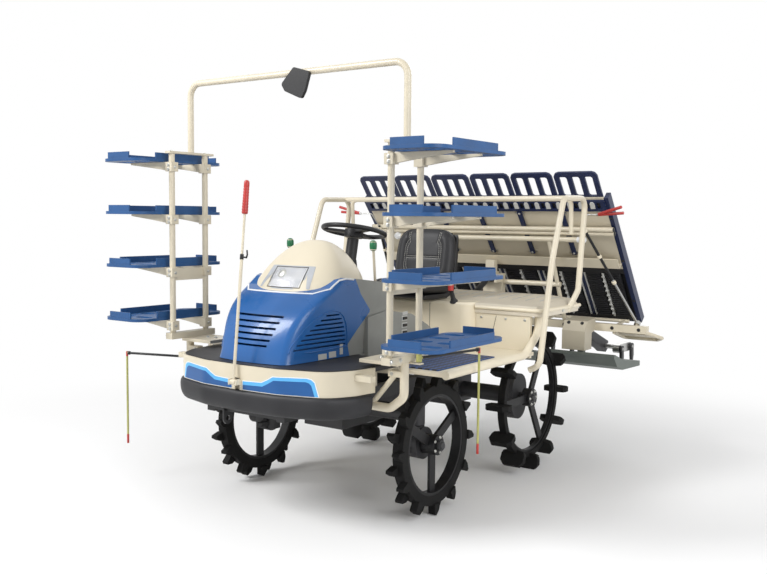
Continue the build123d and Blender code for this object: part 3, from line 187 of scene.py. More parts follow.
def finish(name, low, high, roughness, metallic=0.0, tone_scale=6.0, grain_scale=220.0,
           grain=0.15, coat=0.0, edge=None, specular=0.5):
    """Material with two tones mixed by a broad noise, a fine grain, and where asked an edge colour along
    edges and creases: a painted highlight on the black finishes, a darker tone on the creams.
    """
    made = bpy.data.materials.new(name)
    made.use_nodes = True
    tree = made.node_tree
    shader = tree.nodes["Principled BSDF"]
    shader.inputs["Metallic"].default_value = metallic
    shader.inputs["Coat Weight"].default_value = coat
    shader.inputs["Specular IOR Level"].default_value = specular
    place = add_node(tree, "TexCoord").outputs["Object"]
    broad = add_node(tree, "TexNoise", {"Vector": place, "Scale": tone_scale, "Detail": 5.0}).outputs["Fac"]
    tones = add_node(tree, "ValToRGB", {"Fac": broad})
    first, last = tones.color_ramp.elements
    first.position, last.position = 0.3, 0.7
    first.color, last.color = (*low, 1), (*high, 1)
    fine = add_node(tree, "TexNoise", {"Vector": place, "Scale": grain_scale, "Detail": 3.0})
    gloss = add_node(tree, "MapRange", {"Value": broad, "To Min": max(0.02, roughness - 0.07),
                                        "To Max": min(1.0, roughness + 0.09)})
    tree.links.new(gloss.outputs["Result"], shader.inputs["Roughness"])
    rounded = add_node(tree, "Bevel", {"Radius": EDGE_WIDTH}, samples=4).outputs["Normal"]
    bump = add_node(tree, "Bump", {"Height": fine.outputs["Fac"], "Normal": rounded,
                                   "Strength": grain, "Distance": 0.0006})
    tree.links.new(bump.outputs["Normal"], shader.inputs["Normal"])
    colour = tones.outputs["Color"]
    # Edge colour where asked: lighter than a black finish it is a painted highlight; on the creams it
    # darkens edges and creases
    if edge:
        flat = add_node(tree, "NewGeometry").outputs["Normal"]
        turned = add_node(tree, "VectorMath", {0: flat, 1: rounded}, operation="DOT_PRODUCT")
        painted_edge_mask = add_node(tree, "MapRange", {"Value": turned.outputs["Value"],
                                           "From Min": 0.97, "From Max": 0.80})
        patch = add_node(tree, "Math", {0: painted_edge_mask.outputs["Result"], 1: broad}, operation="MULTIPLY")
        colour = add_node(tree, "Mix", {0: patch.outputs["Value"], 6: colour, 7: (*edge, 1)},
                          data_type="RGBA").outputs[2]
    tree.links.new(colour, shader.inputs["Base Color"])
    return made


def punch_holes(made):
    """Rows of round holes in a mat, coloured near black as painted shade in them, and sunk by a bump."""
    tree = made.node_tree
    shader = tree.nodes["Principled BSDF"]
    colour = shader.inputs["Base Color"].links[0].from_socket
    place = tree.nodes["Texture Coordinate"].outputs["Object"]
    holes = add_node(tree, "TexVoronoi", {"Vector": place, "Scale": 24.0, "Randomness": 0.0},
                     voronoi_dimensions="2D")
    rim = add_node(tree, "MapRange", {"Value": holes.outputs["Distance"],
                                      "From Min": 0.36, "From Max": 0.41}).outputs["Result"]
    # The near black in the holes is painted shade; the mat is not cut through
    mixed = add_node(tree, "Mix", {0: rim, 6: (0.004, 0.006, 0.015, 1), 7: colour}, data_type="RGBA")
    tree.links.new(mixed.outputs[2], shader.inputs["Base Color"])
    grained = tree.nodes["Bump"].outputs["Normal"]
    sunk = add_node(tree, "Bump", {"Height": rim, "Normal": grained, "Distance": 0.003})
    tree.links.new(sunk.outputs["Normal"], shader.inputs["Normal"])


def press_flutes(made):
    """Upright flutes pressed into bright metal."""
    tree = made.node_tree
    place = tree.nodes["Texture Coordinate"].outputs["Object"]
    flutes = add_node(tree, "TexWave", {"Vector": place, "Scale": 28.0, "Distortion": 1.5})
    bump = tree.nodes["Bump"]
    tree.links.new(flutes.outputs["Fac"], bump.inputs["Height"])
    bump.inputs["Distance"].default_value = 0.003


# A colour of the panel, how bright its two tones are against it, roughness, and other settings
# The edge settings here make edges and creases darker than the cream
TINTED = {
    "cream_paint": ("cream", 0.80, 0.89, 0.36, dict(grain=0.05, coat=0.15, edge=(0.50, 0.45, 0.35))),
    "cream_plastic": ("cream", 0.97, 1.05, 0.32, dict(grain=0.08, tone_scale=2.5)),
    "skirt_plastic": ("cream", 0.82, 0.92, 0.34, dict(grain=0.08, tone_scale=3.5)),
    "dome_plastic": ("cream", 0.90, 0.97, 0.36, dict(grain=0.08, tone_scale=2.0)),
    # Cream darkened as painted shade for the seedling tank's plates; the box covers share it
    "tank_cream": ("cream", 0.66, 0.78, 0.42, dict(grain=0.12, tone_scale=3.0, edge=(0.36, 0.31, 0.23))),
    "hood_blue": ("blue", 0.92, 1.10, 0.27, dict(grain=0.03, coat=0.22, tone_scale=2.0, specular=0.42)),
    "band_blue": ("blue", 0.75, 0.95, 0.30, dict(grain=0.04)),
    "tray_blue": ("tray_blue", 0.85, 1.15, 0.42, dict(grain=0.25, tone_scale=5.0, specular=0.40)),
    "navy_plastic": ("navy", 0.85, 1.15, 0.38, dict(grain=0.2)),
    "red_grip": ("red", 0.85, 1.1, 0.35, dict(grain=0.2)),
    "band_sky": ("sky_band", 0.94, 1.06, 0.30, dict(grain=0.04)),
    "green_knob": ("knob_green", 0.85, 1.15, 0.3, dict(grain=0.1)),
}

# The two tones, roughness, and other settings
# The edge settings here are painted highlights, lighter than the black along edges and creases
PLAIN = {
    "platform_cream": ((0.60, 0.545, 0.44), (0.67, 0.61, 0.50), 0.48, dict(grain=0.25)),
    "black_rubber": ((0.011, 0.011, 0.013), (0.021, 0.021, 0.024), 0.50, dict(grain=0.35, specular=0.40)),
    "tyre_rubber": ((0.004, 0.004, 0.004), (0.009, 0.0088, 0.0085), 0.70,
                    dict(grain=0.5, grain_scale=140, edge=(0.030, 0.028, 0.025), specular=0.20)),
    "black_paint": ((0.012, 0.012, 0.013), (0.024, 0.024, 0.026), 0.38,
                    dict(grain=0.1, edge=(0.10, 0.10, 0.10))),
    "wheel_black": ((0.006, 0.006, 0.0065), (0.013, 0.013, 0.014), 0.46,
                    dict(grain=0.15, edge=(0.05, 0.05, 0.05), specular=0.30)),
    "cast_black": ((0.016, 0.016, 0.018), (0.034, 0.034, 0.036), 0.5,
                   dict(grain=0.6, grain_scale=120, edge=(0.12, 0.12, 0.12))),
    "bare_steel": ((0.42, 0.42, 0.41), (0.60, 0.60, 0.58), 0.34,
                   dict(metallic=1.0, grain=0.1, grain_scale=400)),
    "silver_plastic": ((0.47, 0.47, 0.45), (0.56, 0.56, 0.54), 0.45, dict(grain=0.2)),
    "grey_plastic": ((0.225, 0.230, 0.215), (0.285, 0.290, 0.270), 0.48, dict(grain=0.25)),
    "black_plastic": ((0.008, 0.008, 0.009), (0.016, 0.016, 0.017), 0.44, dict(grain=0.3, specular=0.36)),
    "float_green": ((0.105, 0.125, 0.112), (0.150, 0.170, 0.155), 0.5, dict(grain=0.3)),
    "engine_grey": ((0.10, 0.10, 0.10), (0.17, 0.17, 0.17), 0.55, dict(grain=0.6, grain_scale=90)),
    "vinyl": ((0.010, 0.010, 0.012), (0.018, 0.018, 0.020), 0.45,
              dict(grain=0.55, grain_scale=520, specular=0.36)),
    "mesh_rubber": ((0.012, 0.050, 0.170), (0.022, 0.075, 0.240), 0.55, dict(grain=0.4, grain_scale=160)),
    "yellow_rod": ((0.34, 0.34, 0.10), (0.46, 0.45, 0.16), 0.5, dict(grain=0.2)),
    "lamp_bezel": ((0.40, 0.42, 0.45), (0.47, 0.49, 0.52), 0.28, dict(grain=0.05, coat=0.4)),
    "lamp_reflector": ((0.78, 0.80, 0.84), (0.95, 0.96, 0.98), 0.16,
                       dict(metallic=0.85, tone_scale=30, grain=0.9, grain_scale=60)),
    "white_line": ((0.78, 0.79, 0.80), (0.86, 0.87, 0.88), 0.35, dict(grain=0.05)),
    "stitching": ((0.50, 0.49, 0.45), (0.66, 0.65, 0.60), 0.8, dict(grain=0.5, grain_scale=900)),
    "zinc": ((0.46, 0.46, 0.44), (0.62, 0.62, 0.58), 0.36,
             dict(metallic=0.9, grain=0.3, tone_scale=60, grain_scale=300)),
    "brown_plate": ((0.23, 0.20, 0.16), (0.33, 0.29, 0.23), 0.55, dict(grain=0.4)),
    "seam_shadow": ((0.045, 0.042, 0.036), (0.075, 0.070, 0.060), 0.8, dict(grain=0.2)),
    "mirror_silver": ((0.80, 0.82, 0.84), (0.86, 0.88, 0.90), 0.06, dict(metallic=1.0, grain=0.01)),
}

RELIEFS = {"mesh_rubber": punch_holes, "lamp_reflector": press_flutes}

NODE_FINISHES = {
    "black_paint": ("chassis_frame", "cross_members", "rear_hitch", "lower_links", "upper_link",
                    "lift_barrel"),
    "cream_paint": ("bearers", "tank_rails", "hand_rails", "racks", "overhead_bar", "levers",
                    "planter_frame", "centre_pole"),
    "cast_black": ("drive_line", "knuckle_left", "knuckle_right", "drive_cases", "arms_front", "arms_rear"),
    "engine_grey": ("engine",),
    "skirt_plastic": ("front_skirt",),
    "black_rubber": ("front_bumper", "deck_mat", "tank_belts"),
    "hood_blue": ("hood_lower",),
    "dome_plastic": ("hood_upper",),
    "lamp_bezel": ("headlamps",),
    "grey_plastic": ("dash_panel", "console"),
    "black_plastic": ("steering_column", "steering_wheel", "mirror"),
    "cream_plastic": ("floor", "seat_housing"),
    "mesh_rubber": ("floor_mats",),
    "platform_cream": ("rear_platform",),
    "vinyl": ("seat",),
    "tray_blue": ("trays",),
    "wheel_black": ("front_wheel_left", "front_wheel_right", "rear_wheel_left", "rear_wheel_right"),
    "tyre_rubber": ("front_tyre_left", "front_tyre_right", "rear_tyre_left", "rear_tyre_right"),
    "bare_steel": ("lift_rod", "rotors", "line_marker_left", "line_marker_right"),
    "float_green": ("floats",),
    # The tank plates and box covers take the cream darkened as painted shade
    "tank_cream": ("box_covers", "tank_plates"),
    "navy_plastic": ("tank_ribs", "extension_frames"),
    "yellow_rod": ("side_marker_left", "side_marker_right"),
}


def material(name):
    """Finish of a name, made when it is first asked for."""
    title = name + "_finish"
    if title in bpy.data.materials:
        return bpy.data.materials[title]
    if name in TINTED:
        colour, *factors, roughness, settings = TINTED[name]
        channels = getattr(colours(), colour)
        tones = [tuple(min(1.0, c * factor) for c in channels) for factor in factors]
    else:
        *tones, roughness, settings = PLAIN[name]
    made = finish(title, *tones, roughness, **settings)
    if name in RELIEFS:
        RELIEFS[name](made)
    return made


def on_tank(x, v, w):
    """Place on the seedling tank: x across, v up its slope and w out of its front face."""
    y, z = TANK_FOOT
    return Vector((x, station(y), z)) + TANK_UP * v + TANK_OUT * w


node_trees = {}


def tree_of(mesh):
    """Search tree of a mesh's faces."""
    return BVHTree.FromPolygons([v.co for v in mesh.vertices], [f.vertices for f in mesh.polygons])


def surface(node, start, direction):
    """Where a line first meets a part, and which way that face looks."""
    if node not in node_trees:
        node_trees[node] = tree_of(frame["nodes"][node].data)
    point, normal, _, _ = node_trees[node].ray_cast(Vector(start), Vector(direction))
    if point is None:
        raise RuntimeError(f"nothing of {node} lies that way from {tuple(start)}")
    if normal.dot(Vector(direction)) > 0:
        normal = -normal
    return point, normal


def laid(node, start, direction, lift):
    """Place a little off the face that a line first meets."""
    point, normal = surface(node, start, direction)
    return point + normal * lift


def piece(name, shape, finish_name, body, bevel=0.0, angle=40):
    """Object drawn as a bmesh, with its finish, that moves with a body."""
    bmesh.ops.recalc_face_normals(shape, faces=shape.faces)
    mesh = bpy.data.meshes.new(name)
    shape.to_mesh(mesh)
    shape.free()
    mesh.materials.append(material(finish_name))
    mesh.shade_smooth()
    mesh.set_sharp_from_angle(angle=math.radians(angle))
    made = bpy.data.objects.new(name, mesh)
    bpy.context.scene.collection.objects.link(made)
    if bevel:
        edges = made.modifiers.new("edges", "BEVEL")
        edges.width = bevel
        edges.segments = 2
        edges.limit_method = "ANGLE"
    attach(made, body)
    return made


def add_sheet(shape, grid):
    """Open skin over a grid of corners."""
    for left, right in zip(grid, grid[1:]):
        for row in range(len(left) - 1):
            shape.faces.new((left[row], right[row], right[row + 1], left[row + 1]))


def add_tube(shape, rings):
    """Skin round a row of rings, closed at both ends."""
    for lower, upper in zip(rings, rings[1:]):
        for k in range(len(lower)):
            n = (k + 1) % len(lower)
            shape.faces.new((lower[k], lower[n], upper[n], upper[k]))
    shape.faces.new(list(reversed(rings[0])))
    shape.faces.new(rings[-1])


def around(sides):
    """Cosine and sine of equal steps round a circle."""
    angles = [2 * math.pi * k / sides for k in range(sides)]
    return [(math.cos(a), math.sin(a)) for a in angles]


def add_turned(shape, centre, axis, profile, sides=16):
    """Turned form: (radius, height) pairs along an axis, closed at both ends."""
    turn = Matrix.Translation(centre) @ Vector(axis).to_track_quat("Z", "Y").to_matrix().to_4x4()
    add_tube(shape, [[shape.verts.new(turn @ Vector((radius * c, radius * s, height)))
                      for c, s in around(sides)] for radius, height in profile])


def add_bolt(shape, point, normal, radius=None):
    """Washer and hexagon head, seated on a face."""
    r = radius or sizes().bolt_radius
    add_turned(shape, point, normal, ((1.35 * r, -0.001), (1.35 * r, 0.16 * r), (1.25 * r, 0.22 * r)), 14)
    add_turned(shape, point, normal, ((r, 0.2 * r), (r, 0.75 * r), (0.84 * r, 0.9 * r)), 6)


def add_path(shape, points, radius, sides=10):
    """Round bar that follows a row of points."""
    points = [Vector(p) for p in points]
    runs = [(b - a).normalized() for a, b in zip(points, points[1:])]
    side = runs[0].orthogonal().normalized()
    rings = []
    for k, point in enumerate(points):
        before, after = runs[max(k - 1, 0)], runs[min(k, len(runs) - 1)]
        along = (before + after).normalized()
        side = (side - along * side.dot(along)).normalized()
        up = along.cross(side)
        wide = radius / max(0.5, along.dot(after))
        rings.append([shape.verts.new(point + (side * c + up * s) * wide) for c, s in around(sides)])
    add_tube(shape, rings)


def add_box(shape, centre, across, along, out):
    """Block about a centre; each edge is a vector of half its length."""
    corners = [shape.verts.new(centre + across * a + along * b + out * c)
               for a in (-1, 1) for b in (-1, 1) for c in (-1, 1)]
    for face in ((0, 1, 3, 2), (4, 6, 7, 5), (0, 4, 5, 1), (2, 3, 7, 6), (0, 2, 6, 4), (1, 5, 7, 3)):
        shape.faces.new([corners[k] for k in face])


def add_slab(shape, outline, depth):
    """Flat plate from its outline, thickened by a vector."""
    low = [shape.verts.new(Vector(p)) for p in outline]
    high = [shape.verts.new(Vector(p) + depth) for p in outline]
    add_tube(shape, (low, high))


def level_at(table, x):
    """Height of a table of (x, z) pairs at an x between them."""
    for (xa, za), (xb, zb) in zip(table, table[1:]):
        if xa <= x <= xb:
            return za + (zb - za) * (x - xa) / (xb - xa)
    return table[-1][1]


class TRANSPLANTER_OT_finishes(bpy.types.Operator):
    """Gives every part of the frame its paint, plastic, rubber or metal"""

    bl_idname = "transplanter.finishes"
    bl_label = "Part Finishes"

    def execute(self, context):
        finish_of = {node: name for name, nodes in NODE_FINISHES.items() for node in nodes}
        for node, obj in frame["nodes"].items():
            obj.data.materials.clear()
            obj.data.materials.append(material(finish_of[node]))
        return {"FINISHED"}


class TRANSPLANTER_OT_skirt_bands(bpy.types.Operator):
    """Blue bands on the front skirt, left without words"""

    bl_idname = "transplanter.skirt_bands"
    bl_label = "Skirt Bands"

    # top edge as (x, z), height of the lower edge, layers off the skirt, finish
    bands = {
        "white": (((0.034, 0.748), (0.150, 0.752), (0.186, 0.768), (0.218, 0.786), (0.390, 0.791),
                   (0.414, 0.787), (0.430, 0.772), (0.448, 0.703)), 0.7015, 1, "white_line"),
        "sky": (((0.037, 0.744), (0.152, 0.748), (0.187, 0.764), (0.220, 0.782), (0.389, 0.787),
                 (0.411, 0.783), (0.426, 0.770), (0.443, 0.706)), 0.7045, 2, "band_sky"),
        "blue": (((0.037, 0.727), (0.158, 0.731), (0.192, 0.748), (0.225, 0.766), (0.385, 0.771),
                  (0.400, 0.767), (0.412, 0.756), (0.427, 0.706)), 0.7045, 3, "band_blue"),
    }
    layer_height = 0.0006
    columns = 48
    rows = 5

    def execute(self, context):
        for label, (top, bottom, layer, finish_name) in self.bands.items():
            for side, sign in SIDES:
                shape = bmesh.new()
                add_sheet(shape, self.grid(shape, top, bottom, layer, sign))
                piece(f"skirt_band_{label}_{side}", shape, finish_name, "chassis")
        return {"FINISHED"}

    def grid(self, shape, top, bottom, layer, sign):
        """Corners of a band, cast on the skirt from the front."""
        edge_places = {x for x, _ in top}
        grid = []
        for x in sorted(edge_places | set(spread(top[0][0], top[-1][0], self.columns))):
            heights = spread(bottom, level_at(top, x), self.rows)
            line = [laid("front_skirt", (sign * x, AHEAD_Y, z), BACK, self.layer_height * layer)
                    for z in heights]
            grid.append([shape.verts.new(point) for point in line])
        return grid


class TRANSPLANTER_OT_front_end(bpy.types.Operator):
    """Rounded rubber bumper under the skirt"""

    bl_idname = "transplanter.front_end"
    bl_label = "Front End"

    # the bumper's section from its top edge round to its rear, as (inwards, z)
    section = ((0.0180, 0.6985), (0.0120, 0.6975), (0.0070, 0.6930), (0.0030, 0.6850), (0.0008, 0.6740),
               (0.0004, 0.6620), (0.0012, 0.6480), (0.0040, 0.6330), (0.0090, 0.6180), (0.0165, 0.6050),
               (0.0260, 0.5955), (0.0385, 0.5905), (0.0385, 0.6985))
    # lines are cast inwards at this place, over this many degrees to either side
    eye = (-0.420, 0.6450)
    half_sweep = 82
    turns = 72

    def execute(self, context):
        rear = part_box("front_bumper")[1].y - 0.001
        eye = Vector((0, station(self.eye[0]), self.eye[1]))
        shape = bmesh.new()
        rings = []
        for degrees in spread(-self.half_sweep, self.half_sweep, self.turns):
            aim = math.radians(degrees)
            away = Vector((math.sin(aim), -math.cos(aim), 0))
            point, normal = surface("front_bumper", eye + away * 1.5, -away)
            inward = -Vector((normal.x, normal.y, 0)).normalized()
            rings.append([shape.verts.new(Vector((point.x, min(point.y, rear), z)) + inward * depth)
                          for depth, z in self.section])
        add_tube(shape, rings)
        made = piece("bumper_skin", shape, "black_rubber", "chassis", angle=60)
        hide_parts("front_bumper")
        return {"FINISHED"}


class TRANSPLANTER_OT_dome(bpy.types.Operator):
    """Upper hood as one crowned shell that the lamp is let into"""

    bl_idname = "transplanter.dome"
    bl_label = "Dome"

    # z, front and rear station, half width, station where it is widest
    sections = ((1.150, -0.504, -0.086, 0.286, -0.300), (1.200, -0.466, -0.088, 0.279, -0.290),
                (1.228, -0.442, -0.090, 0.267, -0.280), (1.260, -0.418, -0.096, 0.247, -0.272),
                (1.290, -0.393, -0.105, 0.224, -0.264), (1.325, -0.357, -0.122, 0.194, -0.256),
                (1.355, -0.322, -0.140, 0.162, -0.246), (1.380, -0.288, -0.160, 0.126, -0.236),
                (1.398, -0.258, -0.180, 0.088, -0.226), (1.408, -0.235, -0.198, 0.048, -0.218),
                (1.411, -0.222, -0.212, 0.014, -0.217))
    steps = 5
    sides = 96
    front_power = 2.6
    rear_power = 4.0

    def execute(self, context):
        shape = bmesh.new()
        add_tube(shape, [self.ring(shape, section) for section in self.smooth_sections()])
        made = piece("dome_shell", shape, "dome_plastic", "chassis", angle=60)
        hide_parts("hood_upper")
        node_trees["dome_shell"] = tree_of(made.data)
        return {"FINISHED"}

    def smooth_sections(self):
        """The sections joined by smooth curves from one to the next."""
        rows = [Vector(row) for row in self.sections]
        made = []
        for k in range(len(rows) - 1):
            before, after = rows[max(k - 1, 0)], rows[min(k + 2, len(rows) - 1)]
            low, high = rows[k], rows[k + 1]
            for step in range(self.steps):
                t = step / self.steps
                made.append(low * (2 * t ** 3 - 3 * t ** 2 + 1) + high * (3 * t ** 2 - 2 * t ** 3)
                            + (high - before) * 0.5 * (t ** 3 - 2 * t ** 2 + t)
                            + (after - low) * 0.5 * (t ** 3 - t ** 2))
        return made + [rows[-1]]

    def ring(self, shape, section):
        """Rounded plan section: full at the front, squarer at the rear."""
        z, front, rear, half, widest = section
        made = []
        for across, along in around(self.sides):
            power = self.rear_power if along > 0 else self.front_power
            x = half * math.copysign(abs(across) ** (2 / power), across)
            depth = rear - widest if along > 0 else widest - front
            y = widest + depth * math.copysign(abs(along) ** (2 / power), along)
            made.append(shape.verts.new((x, station(y), z)))
        return made


class TRANSPLANTER_OT_headlamp(bpy.types.Operator):
    """Clear lamp in the dome: fluted reflector, bulb shade, rim and grey side fields"""

    bl_idname = "transplanter.headlamp"
    bl_label = "Headlamp"

    # the lamp's outline from the front, as (x, z)
    outline = ((-0.108, 1.175), (0.108, 1.175), (0.103, 1.275), (-0.103, 1.275))
    # the reflector: half width, heights, how far it stands off and how far its middle swells
    reflector_half = 0.102
    reflector_heights = (1.177, 1.273)
    reflector_lift = 0.0015
    reflector_swell = 0.0035
    columns = 24
    rows = 16
    rim_steps = 8
    bezel_steps = 8
    bezel_station = -0.430
    shade_place = (-0.038, 1.240)
    shade_profile = ((0.024, 0.001), (0.024, 0.007), (0.020, 0.010), (0.008, 0.012), (0.001, 0.012))

    def execute(self, context):
        shape = bmesh.new()
        grid = []
        for x in spread(-self.reflector_half, self.reflector_half, self.columns):
            line = []
            for row, z in enumerate(spread(*self.reflector_heights, self.rows)):
                swell = (1 - abs(x) / self.outline[2][0]) * math.sin(math.pi * row / self.rows)
                lift = self.reflector_lift + self.reflector_swell * swell
                line.append(shape.verts.new(laid("headlamps", (x, AHEAD_Y, z), BACK, lift)))
            grid.append(line)
        add_sheet(shape, grid)
        piece("lamp_reflector", shape, "lamp_reflector", "chassis")
        shape = bmesh.new()
        rim = []
        for (xa, za), (xb, zb) in zip(self.outline, self.outline[1:] + self.outline[:1]):
            edge = zip(spread(xa, xb, self.rim_steps), spread(za, zb, self.rim_steps))
            rim += [laid("headlamps", (x, AHEAD_Y, z), BACK, 0.0005) for x, z in list(edge)[:-1]]
        add_path(shape, rim + rim[:1], 0.0022, 6)
        piece("lamp_rim", shape, "seam_shadow", "chassis")
        shape = bmesh.new()
        for sign in (1, -1):
            self.add_bezel(shape, sign)
        piece("lamp_bezels", shape, "lamp_bezel", "chassis")
        shape = bmesh.new()
        x, z = self.shade_place
        add_turned(shape, *surface("headlamps", (x, AHEAD_Y, z), BACK), self.shade_profile, 24)
        piece("lamp_bulb_shade", shape, "zinc", "chassis")
        return {"FINISHED"}

    def add_bezel(self, shape, sign):
        """Grey side field of the lamp, laid round the dome."""
        aim = Vector((-sign * 0.55, 0.83, 0))
        grid = []
        for share in spread(0, 1, self.bezel_steps):
            line = []
            for rise in spread(0, 1, self.bezel_steps):
                x = 0.119 + share * (0.020 + 0.030 * rise)
                z = 1.172 + (0.110 - 0.002 * share) * rise
                start = Vector((sign * x, station(self.bezel_station), z)) - aim
                line.append(shape.verts.new(laid("dome_shell", start, aim, 0.0014)))
            grid.append(line)
        add_sheet(shape, grid)


class TRANSPLANTER_OT_hood_trim(bpy.types.Operator):
    """Pale lip along the hood's seam, arches round its louvres, and bare plates low on its left side"""

    bl_idname = "transplanter.hood_trim"
    bl_label = "Hood Trim"

    # the seam in side view, from the front corner to the rear, as (station, z)
    seam = ((-0.440, 1.180), (-0.408, 1.200), (-0.375, 1.220), (-0.335, 1.228), (-0.300, 1.2245),
            (-0.272, 1.2215))
    # the seam across the front: half its width, height and steps
    front_half = 0.215
    front_height = 1.1535
    front_steps = 12
    # arch round the side louvres, as (station, z)
    arch = ((-0.690, 0.880), (-0.676, 0.912), (-0.650, 0.948), (-0.612, 0.986), (-0.566, 1.020),
            (-0.516, 1.047), (-0.462, 1.064), (-0.410, 1.070), (-0.366, 1.060), (-0.332, 1.034),
            (-0.308, 0.996), (-0.294, 0.950), (-0.288, 0.905), (-0.288, 0.880), (-0.420, 0.874),
            (-0.560, 0.872))
    # station, height, half length and half height of each plate
    plates = ((-0.468, 0.842, 0.030, 0.014), (-0.395, 0.846, 0.026, 0.015), (-0.330, 0.866, 0.012, 0.026))
    plate_half = 0.0008
    beside = 0.6

    def execute(self, context):
        shape = bmesh.new()
        left, right = [self.on_side(self.seam, sign, 0.004, 0.001) for sign in (1, -1)]
        front = [laid("hood_lower", (x, AHEAD_Y, self.front_height), BACK, 0.001)
                 for x in spread(self.front_half, -self.front_half, self.front_steps)]
        add_path(shape, left[::-1] + front + right, 0.0045, 8)
        piece("seam_lip", shape, "white_line", "chassis")
        shape = bmesh.new()
        for sign in (1, -1):
            line = self.on_side(self.arch, sign, 0, 0.0006)
            add_path(shape, line + line[:1], 0.0034, 8)
        piece("louvre_arches", shape, "hood_blue", "chassis")
        shape = bmesh.new()
        for y, z, half_length, half_height in self.plates:
            point, normal = surface("hood_lower", (self.beside, station(y), z), -ACROSS)
            along = (BACK - normal * BACK.dot(normal)).normalized()
            out = normal * self.plate_half
            add_box(shape, point + out, along * half_length, normal.cross(along) * half_height, out)
        piece("bare_plates", shape, "silver_plastic", "chassis", bevel=0.0004)
        return {"FINISHED"}

    def on_side(self, line, sign, lower, lift):
        """A row of (station, z) cast on one side of the lower hood, a little lower than it is given."""
        return [laid("hood_lower", (sign * self.beside, station(y), z - lower), -sign * ACROSS, lift)
                for y, z in line]


